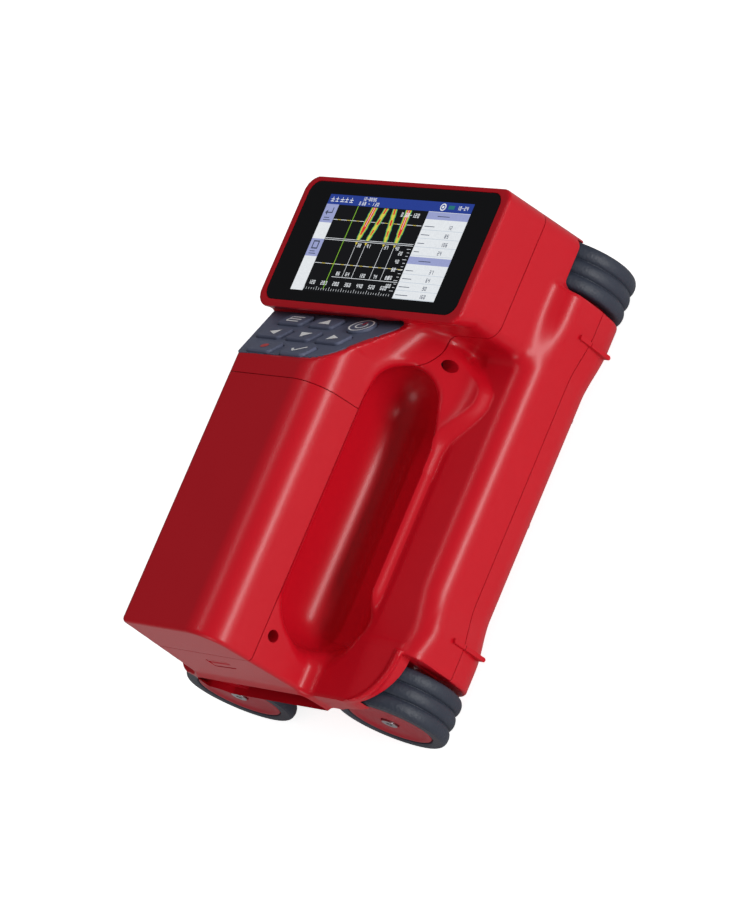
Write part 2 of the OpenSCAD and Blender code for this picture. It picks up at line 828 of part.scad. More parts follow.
module power_key() {
    color([0.2, 0.22, 0.29])
    on_pad() translate([key_rows[2][2], first_row + 2 * key_row_pitch, 0]) {
        translate([0, 0, -mat_t - slide_clear]) cylinder(r = power_r, h = mat_t + slide_clear + key_up / 3);
        translate([-power_r - key_flange, -key_flange_l / 2, -mat_t - slide_clear - key_flange_t])
            cube([2 * (power_r + key_flange), key_flange_l, key_flange_t]);
    }
}
module keypad_board() {
    color([0.05, 0.3, 0.15])
    on_pad() translate([0, 0, -pad_board_drop - board_t - slide_clear])
        linear_extrude(height = board_t) pad_board_outline();
}
module key_domes() {
    color("silver")
    on_pad() for (row = [0:2])
        for (x = key_rows[row])
            translate([x, first_row + row * key_row_pitch, -pad_board_drop - slide_clear])
                cylinder(r = dome_r, h = dome_h);
}

module handle_cover() {
    color(shell_color)
    intersection() {
        upper_shell();
        translate([-side_x, -end_y - over, cover_seam_z + slide_clear / 2])
            cube([body_w, end_y + cover_end_y - slide_clear / 2 + over, body_h]);
    }
}

// Tray and battery inside the handle
tray_wall = 1.5;
tray_drop = 1;
tray_rise = 6;
tray_x = [-handle_left + 2 * wall - over, handle_right - 2 * wall];
tray_y = [-end_y + 3 * wall, cover_end_y - 2 * wall];
tray_top_z = cover_seam_z + tray_rise;
tray_floor_z = cover_seam_z - tray_drop;
cell_share = 0.177;
cell_r = cell_share * (tray_x[1] - tray_x[0]);
module tray_cut() {
    translate([tray_x[0] - tiny_gap, tray_y[0], tray_floor_z - tiny_gap])
        cube([tray_x[1] - tray_x[0] + 2 * tiny_gap, tray_y[1] - tray_y[0], body_h]);
}
module battery_tray() {
    color([0.1, 0.1, 0.11])
    difference() {
        translate([tray_x[0], tray_y[0] + tiny_gap, tray_floor_z])
            cube([tray_x[1] - tray_x[0], tray_y[1] - tray_y[0] - 2 * tiny_gap, tray_top_z - tray_floor_z]);
        translate([tray_x[0] + tray_wall, tray_y[0] + tray_wall + tiny_gap, tray_floor_z + tray_wall])
            cube([tray_x[1] - tray_x[0] - 2 * tray_wall, tray_y[1] - tray_y[0] - 2 * tray_wall - 2 * tiny_gap, body_h]);
    }
}
pack_share = 0.61;
pack_l = pack_share * (tray_y[1] - tray_y[0]);
pack_cells = 2;
module battery_pack() {
    z = tray_floor_z + tray_wall + cell_r;
    cx = (tray_x[0] + tray_x[1]) / 2;
    y0 = tray_y[0] + tray_wall + 2 * contact_t + tiny_gap;
    color([0.12, 0.3, 0.6])
        for (i = [0:pack_cells - 1])
            bar_y(cx + (i - (pack_cells - 1) / 2) * 2 * (cell_r + tiny_gap), z, cell_r, y0, y0 + pack_l);
}
contact_t = 1;
contact_w = 8;
contact_share = 0.8;
module battery_contacts() {
    z = tray_floor_z + tray_wall;
    cx = (tray_x[0] + tray_x[1]) / 2;
    y0 = tray_y[0] + tray_wall + tiny_gap;
    color("gold")
        for (i = [0:pack_cells - 1])
            for (y = [y0, y0 + 3 * contact_t + pack_l])
                translate([cx + (i - (pack_cells - 1) / 2) * 2 * (cell_r + tiny_gap) - contact_w / 2, y, z])
                    cube([contact_w, contact_t, 2 * cell_r * contact_share]);
}

// Wheels
module tyre(side, end) {
    lobe = tyre_w / 3;
    lobe_r = lobe / 2;
    color([0.15, 0.16, 0.19])
    translate([side * axle_x, end < 0 ? -wheel_in_y : wheel_out_y, axle_z]) rotate([90, 0, 0])
        rotate_extrude($fn = 96) {
            translate([hub_r, 0]) square([wheel_r - rib_groove - hub_r, tyre_w]);
            difference() {
                for (i = [0:2])
                    translate([wheel_r - lobe_r, (i + 0.5) * lobe]) circle(r = lobe_r, $fn = 24);
                square([hub_r, tyre_w]);
            }
        }
}
hub_screw_r = 2;
hub_screw_head_r = 3.9;
hub_screw_head_t = 2.4;
hub_face_t = 6;
module hub(side, end) {
    color(hub_color)
    translate([side * axle_x, end * wheel_out_y, axle_z]) rotate([90 * end, 0, 0]) difference() {
        cylinder(r = hub_r, h = tyre_w, $fn = 96);
        translate([0, 0, -over]) cylinder(r = hub_screw_r, h = tyre_w + 2 * over);
        translate([0, 0, -over]) cylinder(r = hub_screw_head_r + tiny_gap, h = hub_screw_head_t + tiny_gap + over);
        translate([0, 0, hub_face_t]) cylinder(r = axle_r, h = tyre_w);
        translate([0, 0, hub_face_t + wall]) difference() {
            cylinder(r = hub_r - wall, h = tyre_w);
            cylinder(r = axle_r + wall, h = tyre_w);
        }
    }
}
module near_left_hub() { hub(-1, -1); }
module far_left_hub() { hub(-1, 1); }
module near_right_hub() { hub(1, -1); }
module far_right_hub() { hub(1, 1); }
module near_left_tyre() { tyre(-1, -1); }
module far_left_tyre() { tyre(-1, 1); }
module near_right_tyre() { tyre(1, -1); }
module far_right_tyre() { tyre(1, 1); }

module axle(side) {
    tip = wheel_out_y - hub_face_t;
    color("silver")
    difference() {
        bar_y(side * axle_x, axle_z, axle_r, -tip, tip);
        for (end = [-1, 1])
            bar_y(side * axle_x, axle_z, hub_screw_r,
                end < 0 ? -tip - over : tip - hub_screw_l + hub_face_t,
                end < 0 ? -tip + hub_screw_l - hub_face_t : tip + over);
    }
}
hub_screw_l = 16;
module left_axle() { axle(-1); }
module right_axle() { axle(1); }
module hub_screws(side) {
    slot = 0.8;
    color("silver")
    for (end = [-1, 1])
        translate([side * axle_x, end * (wheel_out_y - tiny_gap), axle_z]) rotate([90 * end, 0, 0]) difference() {
            union() {
                cylinder(r = hub_screw_head_r, h = hub_screw_head_t);
                cylinder(r = hub_screw_r, h = hub_screw_l - over);
            }
            for (a = [0, 90])
                rotate([0, 0, a]) translate([-hub_screw_head_r / 2, -slot / 2, -over])
                    cube([hub_screw_head_r, slot, 2 * over]);
        }
}
module left_hub_screws() { hub_screws(-1); }
module right_hub_screws() { hub_screws(1); }
module axle_bushes() {
    color([0.75, 0.55, 0.25])
    for (side = [-1, 1])
        for (end = [-1, 1])
            difference() {
                bar_y(side * axle_x, axle_z, bush_r,
                    end < 0 ? -sole_y : sole_y - bush_l, end < 0 ? -sole_y + bush_l : sole_y);
                bar_y(side * axle_x, axle_z, axle_r + run_clear, end < 0 ? -sole_y - over : sole_y - bush_l - over,
                    end < 0 ? -sole_y + bush_l + over : sole_y + over);
            }
}

// Boards and sensor parts in the base
module main_board() {
    color([0.05, 0.3, 0.15])
    difference() {
        translate([-main_board_w / 2, -main_board_l / 2, parting_z])
            cube([main_board_w, main_board_l, board_t]);
        for (p = board_post_at)
            translate([p[0], p[1], parting_z - over]) cylinder(r = screw_r, h = board_t + 2 * over);
    }
}
// Chips as shares of the board: centre, width, length, and height in board thicknesses
chip_shares = [
    [0, 0.12, 0.2, 0.1, 1], [0, -0.06, 0.15, 0.12, 1], [-0.3, 0.185, 0.275, 0.185, 2.5],
    [0.275, -0.185, 0.175, 0.06, 2], [-0.275, -0.25, 0.125, 0.16, 3.75]];
module main_board_parts() {
    color([0.12, 0.12, 0.13])
    for (c = chip_shares)
        translate([(c[0] - c[2] / 2) * main_board_w, (c[1] - c[3] / 2) * main_board_l, parting_z + board_t])
            cube([c[2] * main_board_w, c[3] * main_board_l, c[4] * board_t]);
}
module coil_board() {
    color([0.1, 0.35, 0.2])
    difference() {
        translate([-coil_board_w / 2, -coil_board_l / 2, coil_board_z])
            cube([coil_board_w, coil_board_l, board_t]);
        for (p = coil_post_at)
            translate([p[0], p[1], coil_board_z - over]) cylinder(r = screw_r, h = board_t + 2 * over);
        for (p = board_post_at)
            translate([p[0], p[1], coil_board_z - over])
                cylinder(r = board_post_r + slide_clear, h = board_t + 2 * over);
    }
}
coil_gap = 1.8;
coil_wire_w = 5;
coil_t = 4;
coil_share = [0.44, 0.225];
coil_pitch_x = coil_share[0] * coil_board_w;
coil_pitch_y = coil_share[1] * coil_board_l;
coil_r = min(coil_pitch_x, coil_pitch_y) / 2 - coil_gap;
module sensor_coils() {
    color([0.72, 0.42, 0.2])
    for (x = [-0.5, 0.5])
        for (i = [-1.5:1:1.5])
            translate([x * coil_pitch_x, i * coil_pitch_y, coil_board_z - coil_t]) difference() {
                cylinder(r = coil_r, h = coil_t);
                translate([0, 0, -over]) cylinder(r = coil_r - coil_wire_w, h = coil_t + 2 * over);
            }
}

// Slotted disc on the right axle and the sensor that reads it
disc_t = 1;
disc_y = 40;
disc_slots = 24;
slot_r = 0.5;
slot_in = 2;
module encoder_disc() {
    color([0.1, 0.1, 0.1])
    translate([axle_x, disc_y, axle_z]) rotate([90, 0, 0]) difference() {
        union() {
            cylinder(r = disc_r, h = disc_t);
            cylinder(r = axle_r + wall, h = 4 * disc_t);
        }
        translate([0, 0, -over]) cylinder(r = axle_r, h = 6 * disc_t);
        for (i = [0:disc_slots - 1])
            rotate([0, 0, i * 360 / disc_slots])
                translate([disc_r - slot_in, 0, -over]) cylinder(r = slot_r, h = disc_t + 2 * over, $fn = 16);
    }
}
module encoder_sensor() {
    gap = 1.5;
    arm = 2;
    reach = board_clear + disc_r / 3;
    tall = 5;
    x1 = axle_x - axle_r - wall - 2 * slide_clear;
    color([0.07, 0.07, 0.07])
    translate([x1 - reach, disc_y - disc_t / 2, parting_z + board_t]) difference() {
        translate([-reach, -gap / 2 - arm - disc_t / 2, 0]) cube([2 * reach, 2 * arm + gap + disc_t, tall]);
        translate([-reach / 2, -gap / 2 - disc_t / 2, -over]) cube([2 * reach, gap + disc_t, tall + 2 * over]);
    }
}

module base_screws() {
    color("silver")
    for (side = [-1, 1])
        for (y = body_screw_ys)
            translate([side * body_screw_x, y, sole_z + wall + tiny_gap]) {
                cylinder(r = screw_head_r, h = screw_head_t - tiny_gap);
                cylinder(r = screw_r, h = parting_z - sole_z - wall + boss_tap_z - over);
            }
}
module side_screws() {
    color([0.35, 0.35, 0.36])
    for (s = side_screw_at)
        translate([s[2] - side_sink, s[0], s[1]]) rotate([0, -90, 0]) {
            cylinder(r = side_screw_r, h = 3 * screw_head_t);
            translate([0, 0, -screw_head_t]) cylinder(r = screw_head_r, h = screw_head_t);
        }
}

// Charging and data socket in the far wall, with its hinged flap
port_x = -30;
flap_w = 20;
flap_h = 10;
port_z = head_seam_z + wall + flap_h / 2 + slide_clear;
flap_t = 2;
usb_w = 9;
usb_h = 3.3;
usb_l = 8;
port_board_w = 22;
port_board_l = 14;
far_face_y = end_y - head_lean * (port_z + flap_h / 2 - roof_low_z) / (display_z - roof_low_z) - tiny_gap;
flap_axis = [far_face_y - flap_t / 2, port_z + flap_h / 2 - flap_t / 2];
module flap_block() {
    translate([port_x - flap_w / 2 - wall, far_face_y - flap_t - 2 * wall, port_z - flap_h / 2 - wall])
        cube([flap_w + 2 * wall, flap_t + 2 * wall - slide_clear, flap_h + 2 * wall]);
}
module flap_pocket() {
    g = slide_clear;
    translate([port_x - flap_w / 2 - g, far_face_y - flap_t - g, port_z - flap_h / 2 - g])
        cube([flap_w + 2 * g, flap_t + g + 2 * over, flap_h + 2 * g]);
    translate([port_x - usb_w / 2 - g, far_face_y - flap_t - 3 * wall, port_z - usb_h / 2 - g])
        cube([usb_w + 2 * g, 3 * wall + over, usb_h + 2 * g]);
}
module port_flap() {
    color([0.1, 0.1, 0.11])
    union() {
        translate([port_x - flap_w / 2, far_face_y - flap_t, port_z - flap_h / 2])
            cube([flap_w, flap_t, flap_h - flap_t / 2]);
        translate([port_x - flap_w / 2, flap_axis[0], flap_axis[1]]) rotate([0, 90, 0])
            cylinder(r = flap_t / 2, h = flap_w);
    }
}
module usb_socket() {
    shell = 0.4;
    y1 = far_face_y - flap_t - 2 * slide_clear;
    color("silver")
    difference() {
        translate([port_x - usb_w / 2, y1 - usb_l, port_z - usb_h / 2]) cube([usb_w, usb_l, usb_h]);
        translate([port_x - usb_w / 2 + shell, y1 - usb_l + over, port_z - usb_h / 2 + shell])
            cube([usb_w - 2 * shell, usb_l, usb_h - 2 * shell]);
    }
}
module port_board() {
    y1 = far_face_y - flap_t - 2 * wall - tiny_gap;
    color([0.05, 0.3, 0.15])
        translate([port_x - port_board_w / 2, y1 - port_board_l, port_z - usb_h / 2 - board_t])
            cube([port_board_w, port_board_l, board_t]);
}

base_shell();
main_shell();
head_shell();
handle_cover();
door_latch();
battery_tray();
battery_pack();
battery_contacts();
display_glass();
display_gasket();
lcd_panel();
display_board();
buzzer();
keypad_mat();
keypad_board();
key_domes();
menu_key();
up_key();
power_key();
left_key();
down_key();
right_key();
record_key();
enter_key();
main_board();
main_board_parts();
coil_board();
sensor_coils();
encoder_disc();
encoder_sensor();
left_axle();
right_axle();
axle_bushes();
near_left_hub();
far_left_hub();
near_right_hub();
far_right_hub();
near_left_tyre();
far_left_tyre();
near_right_tyre();
far_right_tyre();
left_hub_screws();
right_hub_screws();
base_screws();
side_screws();
usb_socket();
port_board();
port_flap();
parting_gasket();
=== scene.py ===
"""Rebar scanner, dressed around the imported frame.

Blender works in metres. The named sizes and the fields are in millimetres, along the frame's
axes: X across, Y from the handle's end to the display, Z up from the ground.
"""

import math

import bpy
import numpy as np
from mathutils import Matrix, Vector


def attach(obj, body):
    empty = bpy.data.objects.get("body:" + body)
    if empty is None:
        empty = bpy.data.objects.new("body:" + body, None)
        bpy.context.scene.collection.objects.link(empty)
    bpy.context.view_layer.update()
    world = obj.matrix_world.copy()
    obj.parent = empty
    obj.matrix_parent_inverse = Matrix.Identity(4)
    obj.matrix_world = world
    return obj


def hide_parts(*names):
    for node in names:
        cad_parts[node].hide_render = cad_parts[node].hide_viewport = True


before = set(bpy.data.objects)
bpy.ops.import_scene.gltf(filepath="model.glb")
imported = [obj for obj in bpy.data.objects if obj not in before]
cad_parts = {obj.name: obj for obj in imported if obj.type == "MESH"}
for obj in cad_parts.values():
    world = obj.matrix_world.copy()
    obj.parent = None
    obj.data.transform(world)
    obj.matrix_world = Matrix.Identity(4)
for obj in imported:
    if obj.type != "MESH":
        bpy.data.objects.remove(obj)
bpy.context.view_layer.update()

MM = 0.001

# Wheels, and the wells and arches around them
AXLE_X, AXLE_Z = 51.4, 27.5
WHEEL_R, HUB_R, TYRE_W = 27.5, 20.8, 22.4
WHEEL_OUT_Y = 118.9
RIBS, RIB_SWEEP, GROOVE = 3, 0.97, 1.7
WELL_R, ARCH_R, WELL_END = 28.5, 22.0, 2.2

# Housing
END_Y, SOLE_Y = 121.5, 94.0
SIDE_X, WAIST_X, WAIST_Y = 78.5, 74.5, (56, 82)
SOLE_Z, PARTING_Z, ROOF_LOW_Z, TOP_Z = 6.0, 28.0, 46.0, 121.0
WALL, ROOM_TOP_Z = 4.0, 50.2
COVER_SEAM_Z, COVER_END_Y, HEAD_SEAM_Z = 93.0, 6.0, 73.0
SEAM_GAP = 0.16

# Factors that keep the slope of a leaning or curved field near 1
DIAGONAL, DECK_SCALE, EDGE_SCALE, RIDGE_SCALE = 0.7071, 0.94, 0.8, 0.9

# Deck: its height, its fall towards the side, and X where the fall starts and ends
DECK_LEFT, DECK_OVER_WHEEL = (58.2, 4.2, 49, 68), (59.2, 2.6, 50, 72)
DECK_RIGHT_Z, DECK_RIGHT_SLOPE, DECK_RIGHT_X = 56.4, 0.17, (50, 74)
DECK_NEAR_Y = (-76, -96)
DECK_ROLL_RIGHT, DECK_ROLL_LEFT, DECK_END_ROLL = 10.5, 15.0, 1.6
SIDE_LEAN, LOWER_LEAN, LOWER_ROLL = 0.02, 0.13, 14

# Roof over the near wheels, and the thin bead along its edge
ROOF_X, ROOF_REACH, ROOF_ROLL = 50.8, 20, 1.4
BEAD_R, BEAD_INSET, BEAD_SINK = 1.1, 0.9, 0.3

# Crest beside the finger recess: heights, and X with its swing out to the shoulder and back
CREST_Z, CREST_FALL, CREST_FALL_Y, CREST_RISE_Y = 62.4, 2.4, (8, 32), (-80, -66)
CREST_X, CREST_OUT, CREST_OUT_Y = 43.4, 14.6, (2, 31)
CREST_BACK, CREST_BACK_Y, CREST_FLANK = 18, (34, 54), (3.0, -2.6)

# Finger recess, a bar with round ends that reaches less far towards the crest
RECESS_X, RECESS_Z, RECESS_R, RECESS_CREST_R = 24, 68, 22, 17.6
RECESS_NEAR_Y, RECESS_FAR_Y = -103, 38
RECESS_POWER = 2.6

# Shoulder: X + Z on its slope, how much lower the slope starts, and the box that holds it
SHOULDER_SUM, SHOULDER_DROP, SHOULDER_DROP_Y = 111.5, 9, (24, 0)
SHOULDER_X0, SHOULDER_Y0, SHOULDER_Y1, SHOULDER_Z0 = 14, -6, 58, 40

# Walls, each a line through two points: (X, Z) for handle and head, (X, Y) under the keypad
HANDLE_LEFT, HANDLE_RIGHT = ((-47, 60), (-41, 117)), ((26, 60), (20, 107))
HANDLE_FAR_Y = 60
HANDLE_TOP_ROLL, HANDLE_RIGHT_ROLL, HANDLE_END_ROLL = 2.5, 15, 2.2
PAD_LEFT, PAD_RIGHT = ((-41, 16.5), (-68, 54.5)), ((20.6, 28.5), (30.6, 56))
PAD_NEAR = ((20, 29.5), (-41, 16.5))
PAD_FAR_Y, PAD_LOW_Z = 62, 62
HEAD_LEFT, HEAD_RIGHT = ((-73, 46), (-71.8, 97)), ((70, 46), (65.8, 97))

# Display head: its face, near and far walls, and how the walls lean
FACE_Z = 97.0
HEAD_Y0, HEAD_Y1 = 51.0, 120.2
HEAD_FAR_LEAN, HEAD_UNDERCUT, UNDERCUT_DEPTH = 1.2, 0.37, 12
HEAD_ROLL, HEAD_LEFT_ROLL, FACE_ROLL = 7, 8, 1.4

# Keypad plane: its origin on the handle's top, with down along the slope and up out of it
PAD_ANGLE = math.radians(42)
PAD_ORIGIN = Vector((0.0, 15.477, 121.0))
PAD_SINK, PAD_CUT, MAT_GAP = 1.2, 3.2, 0.15
MAT_TOP, MAT_LOW, MAT_EDGE = 0.3, 1.1, 0.3
MAT_NEAR_LEFT, MAT_NEAR_RIGHT = (-40.4, 0.6), (12.4, 3.0)
MAT_FAR_LEFT, MAT_FAR_RIGHT = (-67.0, 49.4), (27.0, 53.0)

# Front glass and the opening of the screen under it
HEAD_CEILING_Z, GLASS_FLOOR_Z, GLASS_TOP_Z = 92.0, 94.7, 96.85
GLASS_X0, GLASS_X1, GLASS_Y0, GLASS_Y1 = -67.9, 60.8, 54.8, 117.4
GLASS_CORNER, GLASS_GAP = 6.0, 0.2
LCD_X0, LCD_X1, LCD_Y0, LCD_Y1 = -54.5, 48.5, 56.75, 115.75
LCD_GAP = 0.4

# Screws in the right wall: where their axes meet it, and how deep they sit
SIDE_SCREWS = {"far": (40.5, 41.5, 69.6), "near": (20.5, -106.0, 87.2)}
SCREW_HOLE_R, SCREW_SINK, BOSS_WALL, BOSS_FLOOR = 2.9, 8.0, 2.2, 3
SCREW_HEAD_R, SCREW_HEAD_H, SOCKET_R, SOCKET_DEPTH = 2.8, 2.4, 1.35, 1.2

# Latch in the end wall, leaning a little like the photo's
LATCH_X, LATCH_Z, LATCH_LEAN = -9.6, 81.6, 0.06
LATCH_HALF_W, LATCH_HALF_H, LATCH_DEPTH, LATCH_GAP = 7.5, 3.5, 4.2, 0.3

# Socket in the far wall, and the flap over it with its hinge bar
PORT_X, PORT_Z, PORT_HALF_W, PORT_HALF_H, PORT_DEPTH = -30.0, 80.8, 4.8, 1.95, 9
FLAP_FACE_Y, FLAP_HALF_W, FLAP_HALF_H = 119.74, 10, 5
FLAP_AXIS_Y, FLAP_AXIS_Z, FLAP_R = 118.74, 84.8, 1.0
POCKET_HALF_W, POCKET_BELOW, POCKET_ABOVE, POCKET_DEPTH = 10.3, 5.3, 6.1, 2.3

# Bars across the parting line, and screw holes in the sole
BAR_Y, BAR_Z, BAR_HALF_H, BAR_R = 77, 25, 10, 1.1
SOLE_SCREW_X, SOLE_SCREW_YS = 64, (-62, -8, 46)
SOLE_HOLE_R, SOLE_HOLE_Z = 3.2, 11


# Fields: negative inside a solid, and close to the distance from its surface

def smoothstep(low, high, value):
    """From 0 at low to 1 at high, without corners; low may be the larger one."""
    t = np.clip((value - low) / (high - low), 0, 1)
    return t * t * (3 - 2 * t)


def meet(solid, *others):
    """Intersection of solids with sharp edges."""
    for other in others:
        solid = np.maximum(solid, other)
    return solid


def join(solid, *others):
    """Union of solids."""
    for other in others:
        solid = np.minimum(solid, other)
    return solid


def cut(solid, *tools):
    """The solid without the tools."""
    return meet(solid, *(-tool for tool in tools))


def round_and(a, b, radius):
    """Intersection of two solids with a rounded edge."""
    corner = np.hypot(np.maximum(a + radius, 0), np.maximum(b + radius, 0))
    return np.minimum(-radius, np.maximum(a, b)) + corner


def round_or(a, b, radius):
    """Union of two solids with a fillet."""
    corner = np.hypot(np.maximum(radius - a, 0), np.maximum(radius - b, 0))
    return np.maximum(radius, np.minimum(a, b)) - corner


def soft_or(a, b, reach):
    """Union of two solids, blended where both are within reach of each other."""
    h = np.maximum(reach - np.abs(a - b), 0) / reach
    return np.minimum(a, b) - h * h * reach / 4


def plane_through(a, b, p, q):
    """Distance to the line through p and q in section, positive on the left from p to q."""
    dx, dy = q[0] - p[0], q[1] - p[1]
    length = math.hypot(dx, dy)
    return ((a - p[0]) * -dy + (b - p[1]) * dx) / length


def rounded_rectangle(x, y, x0, x1, y0, y1, radius):
    dx = np.abs(x - (x0 + x1) / 2) - (x1 - x0) / 2 + radius
    dy = np.abs(y - (y0 + y1) / 2) - (y1 - y0) / 2 + radius
    outside = np.hypot(np.maximum(dx, 0), np.maximum(dy, 0))
    return outside + np.minimum(np.maximum(dx, dy), 0) - radius


def half_width(y):
    """Half the body's width, with its waist between the wheels."""
    return WAIST_X + (SIDE_X - WAIST_X) * smoothstep(*WAIST_Y, np.abs(y))


def ridge_line(y):
    """X of the crest that runs beside the finger recess and swings out to the shoulder."""
    return CREST_X + CREST_OUT * smoothstep(*CREST_OUT_Y, y) - CREST_BACK * smoothstep(*CREST_BACK_Y, y)


def deck_height(x, y):
    """Z of the deck, with the crest on its right half."""
    def falling(height, fall, start, end):
        return height - fall * smoothstep(start, end, np.abs(x))

    start, end = DECK_RIGHT_X
    right = DECK_RIGHT_Z - DECK_RIGHT_SLOPE * (np.clip(x, start, end) - start)
    plain = np.where(x > 0, right, falling(*DECK_LEFT))
    deck = plain + (falling(*DECK_OVER_WHEEL) - plain) * smoothstep(*DECK_NEAR_Y, y)
    top = CREST_Z - CREST_FALL * smoothstep(*CREST_FALL_Y, y)
    crest = smoothstep(*CREST_RISE_Y, y) * (top - deck)
    return deck + crest * smoothstep(*CREST_FLANK, x - ridge_line(y)) * (x > 0)


def above_deck(x, y, z):
    return (z - deck_height(x, y)) * DECK_SCALE


def deck_field(x, y, z):
    side = np.abs(x) - half_width(y) + SIDE_LEAN * (z - PARTING_Z)
    roll = np.where(x > 0, DECK_ROLL_RIGHT, DECK_ROLL_LEFT)
    deck = meet(round_and(side, above_deck(x, y, z), roll), 20 - z)
    return round_and(deck, np.abs(y) - SOLE_Y, DECK_END_ROLL)


def roof_edge(y):
    """How far out the roof over a near wheel reaches."""
    bulge = 1 - np.clip((-SOLE_Y - y) / (END_Y - SOLE_Y), 0, 1) ** 2
    return ROOF_X + ROOF_REACH * np.sqrt(bulge)


def roof_field(x, y, z):
    """Deck over the near wheels, as far out as the wheels let it go."""
    plate = meet((np.abs(x) - roof_edge(y)) * EDGE_SCALE, y + SOLE_Y - 6)
    plate = round_and(plate, above_deck(x, y, z), ROOF_ROLL)
    plate = round_and(plate, -END_Y - y, ROOF_ROLL)
    return meet(plate, ROOF_LOW_Z - z)


def keypad_plane(y, z):
    """Height above the keypad's plane."""
    return (y - PAD_ORIGIN.y) * math.sin(PAD_ANGLE) + (z - PAD_ORIGIN.z) * math.cos(PAD_ANGLE)


def handle_field(x, y, z):
    left = plane_through(x, z, *HANDLE_LEFT)
    handle = round_and(left, z - TOP_Z, HANDLE_TOP_ROLL)
    handle = round_and(handle, -plane_through(x, z, *HANDLE_RIGHT), HANDLE_RIGHT_ROLL)
    handle = round_and(handle, -END_Y - y, HANDLE_END_ROLL)
    handle = meet(handle, y - HANDLE_FAR_Y)
    handle = round_and(handle, keypad_plane(y, z), 1.0)
    return meet(handle, ROOF_LOW_Z - z)


def pad_field(x, y, z):
    """Block under the keypad, which widens towards the display."""
    left, right = plane_through(x, y, *PAD_LEFT), -plane_through(x, y, *PAD_RIGHT)
    block = meet(round_and(left, right, 1), plane_through(x, y, *PAD_NEAR))
    block = round_and(block, keypad_plane(y, z), 1.2)
    return meet(block, y - PAD_FAR_Y, PAD_LOW_Z - z)


def head_field(x, y, z):
    """Display head, undercut along its near wall."""
    right, left = -plane_through(x, z, *HEAD_RIGHT), plane_through(x, z, *HEAD_LEFT)
    far = y - HEAD_Y1 - HEAD_FAR_LEAN * (FACE_Z - z) / (FACE_Z - ROOF_LOW_Z)
    near = HEAD_Y0 - y + HEAD_UNDERCUT * np.clip(FACE_Z - 1 - z, 0, UNDERCUT_DEPTH)
    block = round_and(right, near, HEAD_ROLL)
    block = round_and(block, far, HEAD_ROLL)
    block = round_and(block, left, HEAD_LEFT_ROLL)
    block = round_and(block, z - FACE_Z, FACE_ROLL)
    return meet(block, ROOF_LOW_Z - z)


def shoulder_field(x, y, z):
    """Slope from the handle's wall out to the crest, in front of the display head."""
    slope = (x + z - SHOULDER_SUM + SHOULDER_DROP * smoothstep(*SHOULDER_DROP_Y, y)) * DIAGONAL
    shoulder = round_and(slope, (x - ridge_line(y)) * RIDGE_SCALE - 0.5, 3.5)
    shoulder = round_and(shoulder, keypad_plane(y, z) + 0.3, 1.5)
    return meet(shoulder, y - SHOULDER_Y1, SHOULDER_Y0 - y, SHOULDER_Z0 - z, SHOULDER_X0 - x)


def recess_field(x, y, z):
    """Hollow for the fingers."""
    near_y, far_y = RECESS_NEAR_Y + RECESS_R, RECESS_FAR_Y - RECESS_R
    along = np.maximum(np.maximum(near_y - y, y - far_y), 0)
    wide = np.where(x > RECESS_X, RECESS_R / RECESS_CREST_R, 1.0) * np.abs(x - RECESS_X)
    section = wide ** RECESS_POWER + np.abs(z - RECESS_Z) ** RECESS_POWER
    across = np.maximum(section ** (1 / RECESS_POWER), 1e-6)
    return np.hypot(across, along) - RECESS_R


def wheel_space(x, y, z):
    """Wells over the wheels and the arches through the end walls."""
    r = np.hypot(np.abs(x) - AXLE_X, z - AXLE_Z)
    ay = np.abs(y)
    well = meet(r - WELL_R, SOLE_Y - ay, ay - END_Y + WELL_END)
    return join(well, meet(r - ARCH_R, SOLE_Y - ay))


def notch_field(x, y):
    """The open corner over a near wheel."""
    return meet((roof_edge(y) - np.abs(x)) * EDGE_SCALE, y + SOLE_Y)


def bead_field(x, y, z):
    """Thin rim along the edge of the roof over a near wheel."""
    out = (np.abs(x) - roof_edge(y) + BEAD_INSET) * EDGE_SCALE
    bead = np.hypot(out, z - deck_height(x, y) + BEAD_SINK) - BEAD_R
    return meet(bead, y + SOLE_Y - 1, -END_Y + 0.6 - y)


def upper_field(x, y, z):
    """Everything above the parting line, from the outside."""
    handle = soft_or(handle_field(x, y, z), pad_field(x, y, z), 2)
    deck = soft_or(deck_field(x, y, z), roof_field(x, y, z), 1)
    body = round_or(handle, deck, 6)
    body = soft_or(body, shoulder_field(x, y, z), 5)
    body = soft_or(body, head_field(x, y, z), 6)
    # The recess has a rounder rim under the shoulder and at its near end
    rim = 4 + 2 * smoothstep(14, 30, y) + 4 * smoothstep(-70, -86, y) * smoothstep(80, 66, z)
    body = round_and(body, -recess_field(x, y, z), rim)
    body = round_and(body, -notch_field(x, y), 1.0)
    body = soft_or(body, bead_field(x, y, z), 1.5)
    return cut(body, wheel_space(x, y, z))


def upper_hollow(x, y, z):
    """Inside of the mouldings above the parting line, a wall from every outer face."""
    head = meet(head_field(x, y, z) + WALL, z - HEAD_CEILING_Z)
    deck = meet(deck_field(x, y, z) + WALL, z - ROOM_TOP_Z)
    room = join(join(handle_field(x, y, z), pad_field(x, y, z)) + WALL, deck, head)
    for sx, sy, sz in SIDE_SCREWS.values():
        boss = SCREW_HOLE_R + BOSS_WALL - np.hypot(y - sy, z - sz)
        room = meet(room, join(boss, x - sx + SCREW_SINK + BOSS_FLOOR))
    return meet(room, WALL - recess_field(x, y, z), WALL - wheel_space(x, y, z))


def upper_shell(x, y, z):
    return cut(upper_field(x, y, z), upper_hollow(x, y, z))


def lower_field(x, y, z):
    side = np.abs(x) - half_width(y) + LOWER_LEAN * np.maximum(PARTING_Z - z, 0)
    block = round_and(side, SOLE_Z - z, LOWER_ROLL)
    block = round_and(block, np.abs(y) - SOLE_Y, DECK_END_ROLL)
    return meet(block, z - PARTING_Z - 20)


